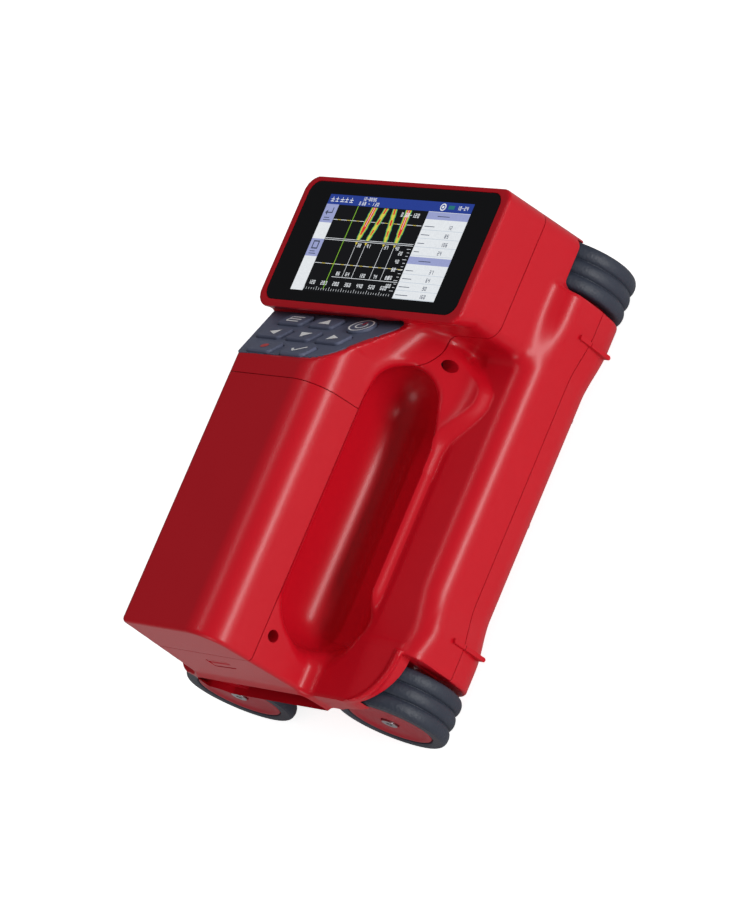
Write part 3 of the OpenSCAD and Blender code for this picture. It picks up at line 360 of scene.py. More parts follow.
def bar_field(x, y, z):
    """Small raised bars across the parting line."""
    flat = np.hypot(np.maximum(np.abs(z - BAR_Z) - BAR_HALF_H, 0), np.abs(y) - BAR_Y) - BAR_R
    return round_and(flat, np.abs(x) - SIDE_X - 1, 0.4)


def seam_height(y):
    """Height of the seam along the handle and round the head."""
    return COVER_SEAM_Z + (HEAD_SEAM_Z - COVER_SEAM_Z) * smoothstep(10, 50, y)


def mat_outline(x, down):
    """Plan of the keypad mat, with a rounded corner by the handle's crest."""
    left = plane_through(x, down, MAT_NEAR_LEFT, MAT_FAR_LEFT)
    right = -plane_through(x, down, MAT_NEAR_RIGHT, MAT_FAR_RIGHT)
    near = -plane_through(x, down, MAT_NEAR_LEFT, MAT_NEAR_RIGHT)
    far = plane_through(x, down, MAT_FAR_LEFT, MAT_FAR_RIGHT)
    outline = round_and(right, near, 9)
    outline = round_and(outline, left, 1.5)
    return round_and(outline, far, 0.5)


def pad_pocket(x, y, z):
    """Shallow seat of the mat in the slope."""
    down = (y - PAD_ORIGIN.y) * math.cos(PAD_ANGLE) - (z - PAD_ORIGIN.z) * math.sin(PAD_ANGLE)
    up = keypad_plane(y, z)
    return meet(mat_outline(x, down) - MAT_GAP, -up - PAD_SINK, up - PAD_CUT)


def glass_outline(x, y, grow):
    return rounded_rectangle(x, y, GLASS_X0 - grow, GLASS_X1 + grow,
                             GLASS_Y0 - grow, GLASS_Y1 + grow, GLASS_CORNER + grow)


def glass_pocket(x, y, z):
    """Seat of the front glass, with the window for the screen through its floor."""
    window = rounded_rectangle(x, y, LCD_X0 - LCD_GAP, LCD_X1 + LCD_GAP,
                               LCD_Y0 - LCD_GAP, LCD_Y1 + LCD_GAP, 0.5)
    window = meet(window, HEAD_CEILING_Z - 2 - z)
    return join(meet(glass_outline(x, y, GLASS_GAP), GLASS_FLOOR_Z - z), window)


def screw_pockets(x, y, z):
    return join(*(meet(np.hypot(y - sy, z - sz) - SCREW_HOLE_R, sx - SCREW_SINK - x)
                  for sx, sy, sz in SIDE_SCREWS.values()))


def latch_outline(x, z, grow):
    """Plan of the latch; z is taken along its lean."""
    return rounded_rectangle(x, z, LATCH_X - LATCH_HALF_W - grow, LATCH_X + LATCH_HALF_W + grow,
                             LATCH_Z - LATCH_HALF_H - grow, LATCH_Z + LATCH_HALF_H + grow, 1.0)


def latch_window(x, y, z):
    """Slot of the latch in the end wall."""
    lean = (x - LATCH_X) * LATCH_LEAN
    slot = latch_outline(x, z - lean, LATCH_GAP)
    return meet(slot, y + END_Y - (LATCH_DEPTH + LATCH_GAP))


def flap_pocket(x, y, z):
    """Seat of the flap in the far wall, with the opening for the socket."""
    pocket = rounded_rectangle(x, z, PORT_X - POCKET_HALF_W, PORT_X + POCKET_HALF_W,
                               PORT_Z - POCKET_BELOW, PORT_Z + POCKET_ABOVE, 1.2)
    pocket = meet(pocket, FLAP_FACE_Y - POCKET_DEPTH - y)
    socket = rounded_rectangle(x, z, PORT_X - PORT_HALF_W, PORT_X + PORT_HALF_W,
                               PORT_Z - PORT_HALF_H, PORT_Z + PORT_HALF_H, 1.2)
    return join(pocket, meet(socket, FLAP_FACE_Y - PORT_DEPTH - y))


def sole_screw_holes(x, y, z):
    ax = np.abs(x) - SOLE_SCREW_X
    holes = join(*(np.hypot(ax, y - sy) for sy in SOLE_SCREW_YS))
    return meet(holes - SOLE_HOLE_R, z - SOLE_HOLE_Z)


# Meshing by dual contouring

VERTEX_REACH, MEAN_PULL = 0.8, 0.12
SHARP_ANGLE = 34


def crossings(field, corner, axis, step, f0, f1):
    """Where the field is zero along grid edges, by three steps of false position."""
    t0, t1 = np.zeros(len(f0)), np.ones(len(f0))
    f0, f1 = f0.astype(float), f1.astype(float)
    for _ in range(3):
        t = t0 + (t1 - t0) * f0 / (f0 - f1)
        p = corner.copy()
        p[:, axis] += t * step
        f = field(p[:, 0], p[:, 1], p[:, 2])
        same = (f < 0) == (f0 < 0)
        t0, f0 = np.where(same, t, t0), np.where(same, f, f0)
        t1, f1 = np.where(same, t1, t), np.where(same, f1, f)
        f0 = np.where(f0 == f1, f0 - 1e-9, f0)
    return p


def slopes(field, p, h=0.03):
    """Unit normals of the field at points p."""
    g = np.empty_like(p)
    for axis in range(3):
        a, b = p.copy(), p.copy()
        a[:, axis] += h
        b[:, axis] -= h
        g[:, axis] = field(a[:, 0], a[:, 1], a[:, 2]) - field(b[:, 0], b[:, 1], b[:, 2])
    return g / np.maximum(np.linalg.norm(g, axis=1, keepdims=True), 1e-12)


def settle(cells, points, normals, step):
    """One vertex for each cell, where the planes through its crossings meet best."""
    ids, inverse = np.unique(cells, return_inverse=True)
    size = len(ids)
    count = np.bincount(inverse, minlength=size)
    total = [np.bincount(inverse, weights=points[:, i], minlength=size) for i in range(3)]
    mean = np.stack(total, axis=1) / count[:, None]
    reach = np.einsum("ij,ij->i", normals, points - mean[inverse])
    a = np.empty((size, 3, 3))
    b = np.empty((size, 3))
    for i in range(3):
        b[:, i] = np.bincount(inverse, weights=normals[:, i] * reach, minlength=size)
        for j in range(i, 3):
            products = normals[:, i] * normals[:, j]
            a[:, i, j] = a[:, j, i] = np.bincount(inverse, weights=products, minlength=size)
    a += MEAN_PULL * np.eye(3)
    move = np.linalg.solve(a, b[:, :, None])[:, :, 0]
    return ids, mean + np.clip(move, -VERTEX_REACH * step, VERTEX_REACH * step)


def contour(field, low, high, step, slab=8):
    """Vertices (mm) and quads of the field's zero surface, with crisp edges kept."""
    counts = [int(math.ceil((b - a) / step)) + 1 for a, b in zip(low, high)]
    xs, ys, zs = [low[i] + step * np.arange(counts[i]) for i in range(3)]
    values = np.empty(counts, np.float32)
    for i in range(0, counts[0], slab):
        values[i:i + slab] = field(xs[i:i + slab, None, None], ys[None, :, None], zs[None, None, :])
    inside = values < 0
    strides = np.array([counts[1] * counts[2], counts[2], 1])
    cells, points, normals, quads = [], [], [], []
    for axis in range(3):
        u, v = (axis + 1) % 3, (axis + 2) % 3
        here, there = [slice(None)] * 3, [slice(None)] * 3
        here[axis], there[axis] = slice(0, -1), slice(1, None)
        index = np.argwhere(inside[tuple(here)] != inside[tuple(there)])
        ahead = index.copy()
        ahead[:, axis] += 1
        f0, f1 = values[tuple(index.T)], values[tuple(ahead.T)]
        corner = np.stack([xs[index[:, 0]], ys[index[:, 1]], zs[index[:, 2]]], axis=1)
        p = crossings(field, corner, axis, step, f0, f1)
        n = slopes(field, p)
        ring = []
        for du, dv in ((-1, -1), (0, -1), (0, 0), (-1, 0)):
            cell = index.copy()
            cell[:, u] += du
            cell[:, v] += dv
            ids = cell @ strides
            ring.append(ids)
            cells.append(ids)
            points.append(p)
            normals.append(n)
        ring = np.stack(ring, axis=1)
        ring[f0 > 0] = ring[f0 > 0][:, ::-1]
        quads.append(ring)
    ids, vertices = settle(np.concatenate(cells), np.concatenate(points), np.concatenate(normals), step)
    return vertices, np.searchsorted(ids, np.concatenate(quads))


def add_object(name, data):
    obj = bpy.data.objects.new(name, data)
    bpy.context.scene.collection.objects.link(obj)
    return obj


def mesh_object(name, vertices, faces):
    """An object from arrays of vertices in millimetres and of faces with one corner count."""
    mesh = bpy.data.meshes.new(name)
    faces = np.asarray(faces, np.int32)
    corners = faces.shape[1]
    mesh.vertices.add(len(vertices))
    mesh.vertices.foreach_set("co", (np.asarray(vertices) * MM).astype(np.float32).ravel())
    mesh.loops.add(faces.size)
    mesh.loops.foreach_set("vertex_index", faces.ravel())
    mesh.polygons.add(len(faces))
    mesh.polygons.foreach_set("loop_start", np.arange(0, faces.size, corners, dtype=np.int32))
    mesh.update(calc_edges=True)
    mesh.validate()
    mesh.shade_smooth()
    mesh.set_sharp_from_angle(angle=math.radians(SHARP_ANGLE))
    return add_object(name, mesh)


def field_piece(name, field, low, high, step):
    return mesh_object(name, *contour(field, low, high, step))


# Materials

def new_material(name):
    material = bpy.data.materials.new(name)
    material.use_nodes = True
    nodes, links = material.node_tree.nodes, material.node_tree.links
    return material, nodes, links, nodes["Principled BSDF"]


def fill(node, values):
    """Set the inputs of a node, by name or by number."""
    for key, value in values.items():
        node.inputs[key].default_value = value


def noise(nodes, links, where, scale, detail=2):
    """Noise over the object's own coordinates."""
    texture = nodes.new("ShaderNodeTexNoise")
    fill(texture, {"Scale": scale, "Detail": detail})
    links.new(where.outputs["Object"], texture.inputs["Vector"])
    return texture.outputs["Fac"]


def two_tone(nodes, links, factor, colour, dark, bright):
    """The colour, wandering between a darker and a brighter tone."""
    shade = nodes.new("ShaderNodeMix")
    shade.data_type = "RGBA"
    low, high = [c * dark for c in colour[:3]], [min(c * bright, 1) for c in colour[:3]]
    fill(shade, {6: low + [1], 7: high + [1]})
    links.new(factor, shade.inputs[0])
    return shade.outputs[2]


def linear(r, g, b):
    """An sRGB colour in 0 to 255 as a linear one."""
    def one(c):
        c /= 255
        return c / 12.92 if c <= 0.04045 else ((c + 0.055) / 1.055) ** 2.4
    return one(r), one(g), one(b), 1.0


def grained(name, colour, roughness, tint=0.06, grain=900.0, bump=0.02, blotch=30.0, **sockets):
    """Moulded or painted surface: blotchy colour, uneven gloss and a fine grain."""
    material, nodes, links, shader = new_material(name)
    where = nodes.new("ShaderNodeTexCoord")
    patches = noise(nodes, links, where, blotch, 4)
    shade = two_tone(nodes, links, patches, colour, 1 - tint, 1 + tint)
    links.new(shade, shader.inputs["Base Color"])
    gloss = nodes.new("ShaderNodeMapRange")
    fill(gloss, {"To Min": roughness * 0.9, "To Max": roughness * 1.1})
    links.new(patches, gloss.inputs["Value"])
    links.new(gloss.outputs["Result"], shader.inputs["Roughness"])
    relief = nodes.new("ShaderNodeBump")
    fill(relief, {"Strength": bump, "Distance": MM})
    links.new(noise(nodes, links, where, grain), relief.inputs["Height"])
    links.new(relief.outputs["Normal"], shader.inputs["Normal"])
    fill(shader, {name.replace("_", " "): value for name, value in sockets.items()})
    return material


def metal(*look, **grain):
    return grained(*look, **grain, Metallic=1.0)


RED = grained("red_moulding", linear(198, 14, 32), 0.29, tint=0.03, grain=1500, bump=0.05,
              Specular_IOR_Level=0.34)
HUB_RED = grained("hub_moulding", linear(176, 16, 38), 0.4, tint=0.05, grain=1200, bump=0.05,
                  Specular_IOR_Level=0.3)
RUBBER = grained("tyre_rubber", linear(44, 50, 64), 0.5, tint=0.12, grain=700, bump=0.25)
KEYPAD = grained("keypad_rubber", linear(92, 98, 122), 0.55, tint=0.06, grain=1800, bump=0.12)
GLASS = grained("black_glass", linear(6, 7, 12), 0.08, tint=0.2, grain=60, bump=0.004)
STEEL = metal("bright_steel", linear(190, 192, 196), 0.28, tint=0.08, grain=1200, bump=0.08)
DARK_STEEL = metal("black_oxide_steel", linear(60, 60, 64), 0.4, tint=0.15, grain=900, bump=0.1)
BRASS = metal("brass", linear(196, 160, 90), 0.3, tint=0.1, grain=900, bump=0.08)
COPPER = metal("copper_wire", linear(190, 110, 60), 0.35, tint=0.15, grain=2500, bump=0.5)
BOARD = grained("board_green", linear(16, 84, 46), 0.35, tint=0.25, grain=800, bump=0.05, blotch=260.0)
CHIP = grained("chip_black", linear(26, 26, 28), 0.5, tint=0.2, grain=1600, bump=0.1)
SEAL = grained("seal_rubber", linear(24, 24, 26), 0.7, tint=0.15, grain=1200, bump=0.15)
CELL = grained("cell_wrap", linear(34, 74, 140), 0.3, tint=0.05, grain=300, bump=0.03)
TRAY = grained("tray_plastic", linear(30, 30, 33), 0.5, tint=0.1, grain=1500, bump=0.2)
PANEL = grained("panel_back", linear(120, 124, 130), 0.4, tint=0.08, grain=700, bump=0.04)


def dress(obj, material):
    obj.data.materials.clear()
    obj.data.materials.append(material)
    return obj


# Red mouldings

# Grid of the mouldings in millimetres
STEP = 1.0


def base_field(x, y, z):
    solid = lower_field(x, y, z)
    solid = cut(solid, meet(solid + WALL, PARTING_Z - 40 - z))
    solid = join(solid, bar_field(x, y, z))
    solid = cut(solid, sole_screw_holes(x, y, z))
    return meet(solid, z - PARTING_Z + SEAM_GAP)


def main_field(x, y, z):
    shell = join(upper_shell(x, y, z), bar_field(x, y, z))
    shell = cut(shell, screw_pockets(x, y, z), latch_window(x, y, z))
    return meet(shell, PARTING_Z + SEAM_GAP - z, z - seam_height(y) + SEAM_GAP)


def head_shell_field(x, y, z):
    shell = cut(upper_shell(x, y, z), glass_pocket(x, y, z), pad_pocket(x, y, z), flap_pocket(x, y, z))
    return meet(shell, SEAM_GAP - (z - seam_height(y)), COVER_END_Y + SEAM_GAP - y)


def cover_field(x, y, z):
    return meet(upper_shell(x, y, z), COVER_SEAM_Z + SEAM_GAP - z, y - COVER_END_Y + SEAM_GAP)


def build_mouldings():
    wide, far, top = SIDE_X + 2.3, END_Y + 1.3, TOP_Z + 1.3
    pieces = (
        ("base_moulding", base_field, "base_shell", "housing",
         (-wide, -SOLE_Y - 1.3, SOLE_Z - 1.3), (wide, SOLE_Y + 1.3, PARTING_Z + 1)),
        ("main_moulding", main_field, "main_shell", "housing",
         (-wide, -far, PARTING_Z - 1), (wide, far, COVER_SEAM_Z + 1)),
        ("head_moulding", head_shell_field, "head_shell", "housing",
         (-wide, COVER_END_Y - 1, HEAD_SEAM_Z - 1), (wide, far, top)),
        ("cover_moulding", cover_field, "handle_cover", "handle_cover",
         (-60, -far, COVER_SEAM_Z - 1), (40, COVER_END_Y + 1, top)),
    )
    for name, field, node, body, low, high in pieces:
        piece = dress(field_piece(name, field, low, high, STEP), RED)
        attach(piece, body)
        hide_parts(node)


build_mouldings()


# Front glass and the picture under it

def polygon_object(name, polygons, materials):
    """An object from (material number, points in millimetres) pairs."""
    mesh = bpy.data.meshes.new(name)
    points, faces, slots = [], [], []
    for slot, corners in polygons:
        faces.append(range(len(points), len(points) + len(corners)))
        points.extend([c * MM for c in corner] for corner in corners)
        slots.append(slot)
    mesh.from_pydata(points, [], faces)
    for material in materials:
        mesh.materials.append(material)
    mesh.polygons.foreach_set("material_index", slots)
    mesh.update()
    return add_object(name, mesh)


def build_glass():
    def glass(x, y, z):
        plate = round_and(glass_outline(x, y, 0), z - GLASS_TOP_Z, 0.5)
        return meet(plate, GLASS_FLOOR_Z + 0.05 - z)

    low = (GLASS_X0 - 1, GLASS_Y0 - 1, GLASS_FLOOR_Z - 1)
    high = (GLASS_X1 + 1, GLASS_Y1 + 1, GLASS_TOP_Z + 1)
    piece = dress(field_piece("front_glass", glass, low, high, 0.8), GLASS)
    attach(piece, "housing")
    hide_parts("display_glass")


def disc(cx, cy, r, count=28):
    angles = [2 * math.pi * k / count for k in range(count)]
    return [(cx + r * math.cos(angle), cy + r * math.sin(angle)) for angle in angles]


def band(r0, r1, start=0.0, end=360.0, count=32):
    """Quads of a ring or an arc round the origin."""
    quads = []
    for k in range(count):
        a0, a1 = (math.radians(start + (end - start) * (k + j) / count) for j in (0, 1))
        corners = ((r0, a0), (r1, a0), (r1, a1), (r0, a1))
        quads.append([(r * math.cos(angle), r * math.sin(angle)) for r, angle in corners])
    return quads


def stroke(a, b, width):
    """A straight bar from a to b."""
    dx, dy = b[0] - a[0], b[1] - a[1]
    scale = width / 2 / math.hypot(dx, dy)
    nx, ny = -dy * scale, dx * scale
    return [(p[0] + nx * side, p[1] + ny * side) for p, side in ((a, 1), (a, -1), (b, -1), (b, 1))]


SEGMENTS = {
    "0": "abcdef", "1": "bc", "2": "abged", "3": "abgcd", "4": "fgbc", "5": "afgcd", "6": "afgedc",
    "7": "abc", "8": "abcdefg", "9": "abcdfg", "-": "g", " ": "", ".": ".",
}

# Picture: its place on the glass, its heading and columns, and the plot between them
SCREEN_X0, SCREEN_Y0, SCREEN_W, SCREEN_H = -52.0, 60.5, 97.0, 50.5
LAYER_H, HEADING_H, MENU_W, PANEL_U = 0.015, 5.2, 8.4, 69.4
PLOT_U0, PLOT_U1, LINE_W = 8.6, 68.6, 0.25
TRACE_V, TRACE_H, TRACE_STEPS = 27.8, 17.2, 12

# Bars in the concrete: where the trace starts, how far it leans, its warmth, the depth beside it
TRACES = ((31.0, 2.2, 1.0, "38"), (37.4, 3.8, 0.35, "41"), (49.4, -2.4, 0.3, "37"), (56.8, -0.5, 0.9, "40"))
SPACINGS = ((26.2, "86"), (32.6, "64"), (42.0, "120"), (51.4, "74"), (59.5, "88"))

BLACK, WHITE, BLUE, GREY, LAVENDER, YELLOW, LIME, RED_TRACE, CYAN, INK = range(10)


class Picture:
    """Flat bars on the glass, placed in millimetres from the picture's lower left corner."""

    def __init__(self):
        self.polygons = []

    def shape(self, colour, level, points):
        """A flat polygon; a higher level lies on top."""
        z = GLASS_TOP_Z + 0.02 + LAYER_H * level
        self.polygons.append((colour, [(SCREEN_X0 + u, SCREEN_Y0 + v, z) for u, v in points]))

    def bar(self, colour, level, u0, v0, u1, v1):
        self.shape(colour, level, [(u0, v0), (u1, v0), (u1, v1), (u0, v1)])

    def number(self, colour, level, u, v, height, text):
        """Plain seven-bar figures."""
        w, t = 0.5 * height, 0.15 * height
        h = height / 2
        bars = {
            "a": (0, height - t, w, height), "g": (0, h - t / 2, w, h + t / 2), "d": (0, 0, w, t),
            "f": (0, h, t, height), "e": (0, 0, t, h), "b": (w - t, h, w, height), "c": (w - t, 0, w, h),
            ".": (w / 2 - t / 2, 0, w / 2 + t / 2, t),
        }
        for letter in text:
            for segment in SEGMENTS[letter]:
                a, b, c, d = bars[segment]
                self.bar(colour, level, u + a, v + b, u + c, v + d)
            u += w * (0.9 if letter == "." else 1.5)


def lit(name, colour):
    """Picture colour that shines by itself under the glass, with a fine weave of cells."""
    material, nodes, links, shader = new_material(name)
    where = nodes.new("ShaderNodeTexCoord")
    shade = two_tone(nodes, links, noise(nodes, links, where, 1400), colour, 0.85, 1.1)
    links.new(shade, shader.inputs["Emission Color"])
    fill(shader, {"Emission Strength": 0.9, "Base Color": (0.004, 0.004, 0.005, 1), "Roughness": 0.1})
    return material


def draw_traces(picture):
    """Bars seen by the scan: warm cores that fade through yellow and green to blue."""
    for u, lean, warmth, _ in TRACES:
        for i in range(TRACE_STEPS):
            v0, v1 = (TRACE_V + TRACE_H * k / TRACE_STEPS for k in (i, i + 1))
            a, b = (u + lean * k / TRACE_STEPS for k in (i, i + 1))
            swell = 0.22 * math.sin(2.3 * i + u)
            core = 0.35 + 0.75 * warmth * min(i / 4, 1) + swell * 0.5
            rings = [(CYAN, 2, core + 1.15), (LIME, 3, core + 0.85), (YELLOW, 4, core + 0.35)]
            if i >= 2 and (warmth >= 0.5 or i % 4 >= 2):
                rings.append((RED_TRACE, 5, core * 0.9))
            if warmth > 0.8 and i > 4:
                rings.append((WHITE, 6, 0.16))
            for colour, level, reach in rings:
                corners = [(a - reach, v0), (a + reach, v0), (b + reach, v1), (b - reach, v1)]
                picture.shape(colour, level, corners)


def draw_plot(picture):
    """Scales, depth lines and traces between the menu and the panel."""
    for v in (14.6, 26.9, 27.7, 37.4):
        picture.bar(WHITE, 1, PLOT_U0, v, PLOT_U1, v + LINE_W)
    for i in range(9):
        for v, first, last in ((14.6, 5, 7.4), (37.4, 3, 5.4)):
            u0, u1 = PLOT_U0 + first + 6.4 * i, PLOT_U0 + last + 6.4 * i
            picture.bar(YELLOW, 2, u0, v, u1, v + LINE_W)
    picture.bar(LIME, 7, 21.6, 1.5, 22.0, 45.2)
    draw_traces(picture)
    for u, _, _, depth in TRACES:
        picture.bar(WHITE, 6, u - 0.12, 8.2, u + 0.12, 26.6)
        picture.shape(YELLOW, 7, [(u - 0.8, 26.6), (u, 25.2), (u + 0.8, 26.6)])
        picture.number(WHITE, 7, u + 1.2, 24.2, 1.9, depth)
    picture.bar(WHITE, 6, 24, 8.0, PLOT_U1, 8.25)
    for u, text in SPACINGS:
        picture.number(WHITE, 7, u, 9.0, 1.9, text)
    for i in range(7):
        picture.number(WHITE, 6, 10.6 + 8.1 * i, 3.6, 2.0, str(120 + 80 * i))
    for i in range(35):
        picture.bar(WHITE, 6, PLOT_U0 + 1.7 * i, 0.8, PLOT_U0 + 1.7 * i + 0.2, 2.6 if i % 5 == 0 else 1.9)
    for i in range(13):
        picture.bar(WHITE, 6, 66.6 if i % 3 else 65.6, 3.5 + 1.8 * i, 68.2, 3.72 + 1.8 * i)
    for i in range(5):
        picture.number(WHITE, 6, 61.4, 5.0 + 4.2 * i, 1.9, str(100 - 20 * i))
    picture.number(WHITE, 7, 52.5, 41.4, 2.2, "0.68-120")


def draw_heading(picture, low):
    """Band along the top: small signs, the scan's name and range, a dial, a battery and a time."""
    picture.bar(BLUE, 1, 0, low, SCREEN_W, SCREEN_H)
    for i, width in enumerate((2.4, 2.0, 2.6, 2.2, 2.4)):
        u, lift = 1.6 + 3.2 * i, 0.2 * (i % 2)
        picture.bar(WHITE, 2, u, low + 1.4, u + width, low + 1.75)
        picture.bar(WHITE, 2, u, low + 2.5 + lift, u + width, low + 2.85 + lift)
        picture.bar(WHITE, 2, u + width / 2 - 0.15, low + 1.4, u + width / 2 + 0.15, low + 3.9)
    picture.number(WHITE, 2, 23.0, low + 2.9, 1.8, "12-0036")
    picture.number(WHITE, 2, 21.5, low + 0.5, 1.8, "0.68 - 1.20")
    for colour, level, r in ((WHITE, 2, 1.9), (BLUE, 3, 1.3), (WHITE, 4, 0.7)):
        picture.shape(colour, level, disc(77.5, low + 2.6, r))
    picture.bar(CYAN, 2, 81.0, low + 1.7, 85.0, low + 3.6)
    picture.number(WHITE, 2, 87.0, low + 1.6, 2.0, "10-24")


def draw_menu(picture, top):
    """Left column with its two soft keys, an arrow and a page sign."""
    picture.bar(WHITE, 1, 0, 0, MENU_W, top)
    for v, height in ((35.6, 9.7), (17.8, 9.2)):
        picture.bar(LAVENDER, 2, 0, v, MENU_W, v + height)
        picture.bar(INK, 3, 1.8, v + 1.2, 6.4, v + 1.6)
        picture.bar(INK, 3, 1.8, v + 2.4, 5.4, v + 2.8)
    picture.bar(INK, 3, 2.6, 40.6, 6.2, 41.2)
    picture.bar(INK, 3, 5.6, 40.6, 6.2, 43.6)
    picture.shape(INK, 3, [(2.8, 39.4), (2.8, 42.4), (1.2, 40.9)])
    picture.bar(INK, 3, 2.0, 21.6, 6.2, 26.0)
    picture.bar(LAVENDER, 4, 2.7, 22.3, 5.5, 25.3)


def draw_panel(picture, top):
    """Right column: two titles, and under each its rows of a label and a number."""
    picture.bar(WHITE, 1, PANEL_U, 0, SCREEN_W, top)
    for v in (top - 4.0, 18.0):
        picture.bar(LAVENDER, 2, PANEL_U, v, SCREEN_W, v + 3.8)
        picture.bar(INK, 3, PANEL_U + 7.0, v + 1.5, PANEL_U + 15.0, v + 1.9)
    for first, pitch, label, growth, texts in ((36.6, 4.4, 7.8, -1, ("12", "85", "106", "24")),
                                               (13.6, 4.2, 6.2, 1, ("37", "64", "90", "160"))):
        for i, text in enumerate(texts):
            v = first - pitch * i
            picture.bar(GREY, 2, PANEL_U, v - 0.9, SCREEN_W, v - 0.7)
            picture.bar(INK, 3, PANEL_U + 1.2, v + 0.8, PANEL_U + label + growth * i, v + 1.15)
            picture.number(INK, 3, PANEL_U + 17.0, v, 2.0, text)


def build_picture():
    picture = Picture()
    picture.bar(BLACK, 0, 0, 0, SCREEN_W, SCREEN_H)
    draw_plot(picture)
    heading_v = SCREEN_H - HEADING_H
    draw_heading(picture, heading_v)
    draw_menu(picture, heading_v)
    draw_panel(picture, heading_v)
    colours = {
        "black": (5, 6, 10), "white": (238, 242, 248), "blue": (36, 62, 150), "grey": (196, 208, 222),
        "lavender": (160, 168, 214), "yellow": (226, 206, 84), "lime": (140, 200, 60),
        "red": (222, 52, 48), "cyan": (40, 120, 120), "ink": (70, 78, 100),
    }
    materials = [lit("screen_" + name, linear(*rgb)) for name, rgb in colours.items()]
    piece = polygon_object("screen_picture", picture.polygons, materials)
    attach(piece, "housing")


build_glass()
build_picture()


# Keypad

KEY_W, KEY_L, KEY_TOP, KEY_CORNER, KEY_GAP = 16.4, 11.0, 1.7, 2.4, 0.35
POWER_R = 7.1
KEY_ROLL, KEY_SKIRT, DISH, DISH_SPREAD = 0.8, 2.2, 0.12, 20
KEY_BOX_W, KEY_BOX_L = KEY_W / 2 + 1, 8.2
MARK_SCALE, MARK_LIFT = 1.25, 0.03
WHITE_INK, RED_INK = 0, 1

# Centres of the keys, across and down the slope
KEYS = {
    "record": (-28.2, 7.4), "enter": (-5.6, 7.4),
    "left": (-38.6, 23.5), "down": (-18.5, 23.5), "right": (1.6, 23.5),
    "menu": (-41.0, 39.6), "up": (-19.6, 39.6), "power": (4.1, 39.6),
}

PAD_TURN = np.array(Matrix.Rotation(-PAD_ANGLE, 3, "X"))


def pad_to_world(points):
    """Points given across, down the slope and out of the keypad, as points of the frame."""
    return np.asarray(points) @ PAD_TURN.T + np.array(PAD_ORIGIN)


def key_outline(name, x, down, grow):
    cx, cy = KEYS[name]
    if name == "power":
        return np.hypot(x - cx, down - cy) - POWER_R - grow
    return rounded_rectangle(x, down, cx - KEY_W / 2 - grow, cx + KEY_W / 2 + grow,
                             cy - KEY_L / 2 - grow, cy + KEY_L / 2 + grow, KEY_CORNER + grow)


def pad_piece(name, field, low, high, step):
    """Piece from a field in the keypad's own axes."""
    vertices, faces = contour(field, low, high, step)
    return dress(mesh_object(name, pad_to_world(vertices), faces), KEYPAD)


def build_mat():
    def mat(x, down, up):
        sheet = round_and(mat_outline(x, down), up - MAT_TOP, MAT_EDGE)
        sheet = meet(sheet, -MAT_LOW - up)
        for name in KEYS:
            sheet = round_and(sheet, -key_outline(name, x, down, KEY_GAP), 0.2)
        return sheet

    low, high = (MAT_FAR_LEFT[0] - 2, -1, -1.9), (MAT_FAR_RIGHT[0] + 2, MAT_FAR_RIGHT[1] + 2, 1.2)
    piece = pad_piece("keypad_sheet", mat, low, high, 0.6)
    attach(piece, "housing")
    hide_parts("keypad_mat")


def key_marks():
    """Printed marks: for each key (ink number, outline) pairs round its centre, Y to the display."""
    rungs = [stroke((-3.2, v), (3.2, v), 0.75) for v in (1.9, 0.0, -1.9)]
    rings = band(4.5, 5.1) + band(2.0, 2.6, 125, 415)
    tick = [stroke((-2.8, 0.2), (-0.9, -1.8), 0.95), stroke((-1.1, -1.9), (3.0, 2.3), 0.95)]
    white = {
        "up": [[(-3.0, -1.9), (3.0, -1.9), (0, 2.2)]], "down": [[(-3.0, 1.9), (0, -2.2), (3.0, 1.9)]],
        "left": [[(1.9, -2.3), (1.9, 2.3), (-2.6, 0)]], "right": [[(-1.9, 2.3), (-1.9, -2.3), (2.6, 0)]],
        "enter": tick, "menu": rungs + [stroke((-3.2, -1.9), (-3.2, 1.9), 0.7)], "power": rings,
    }
    red = {"record": [disc(0, 0, 1.7)], "power": [stroke((0, 0.4), (0, 3.2), 0.8)]}
    return {name: [(WHITE_INK, outline) for outline in white.get(name, [])]
            + [(RED_INK, outline) for outline in red.get(name, [])] for name in KEYS}


def ink(name, colour):
    return grained(name, colour, 0.45, tint=0.04, grain=2500, bump=0.03)


def key_cap(name):
    """Field of one key's cap, slightly dished."""
    cx, cy = KEYS[name]

    def cap(x, down, up):
        dish = DISH * np.exp(-((x - cx) ** 2 + (down - cy) ** 2) / DISH_SPREAD)
        body = round_and(key_outline(name, x, down, 0), up - KEY_TOP + dish, KEY_ROLL)
        return meet(body, -KEY_SKIRT - up)

    return cap


def build_keys():
    inks = [ink("white_ink", linear(250, 250, 252)), ink("red_ink", linear(200, 34, 40))]
    marks = key_marks()
    for name, (cx, cy) in KEYS.items():
        low = (cx - KEY_BOX_W, cy - KEY_BOX_L, -2.8)
        high = (cx + KEY_BOX_W, cy + KEY_BOX_L, KEY_TOP + 0.6)
        piece = pad_piece(name + "_cap", key_cap(name), low, high, 0.5)
        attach(piece, name + "_key")
        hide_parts(name + "_key")
        polygons = []
        for slot, outline in marks[name]:
            corners = [(cx + MARK_SCALE * u, cy + MARK_SCALE * v, KEY_TOP + MARK_LIFT) for u, v in outline]
            polygons.append((slot, [tuple(corner) for corner in pad_to_world(corners)]))
        print_piece = polygon_object(name + "_print", polygons, inks)
        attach(print_piece, name + "_key")


build_mat()
build_keys()


# Wheels

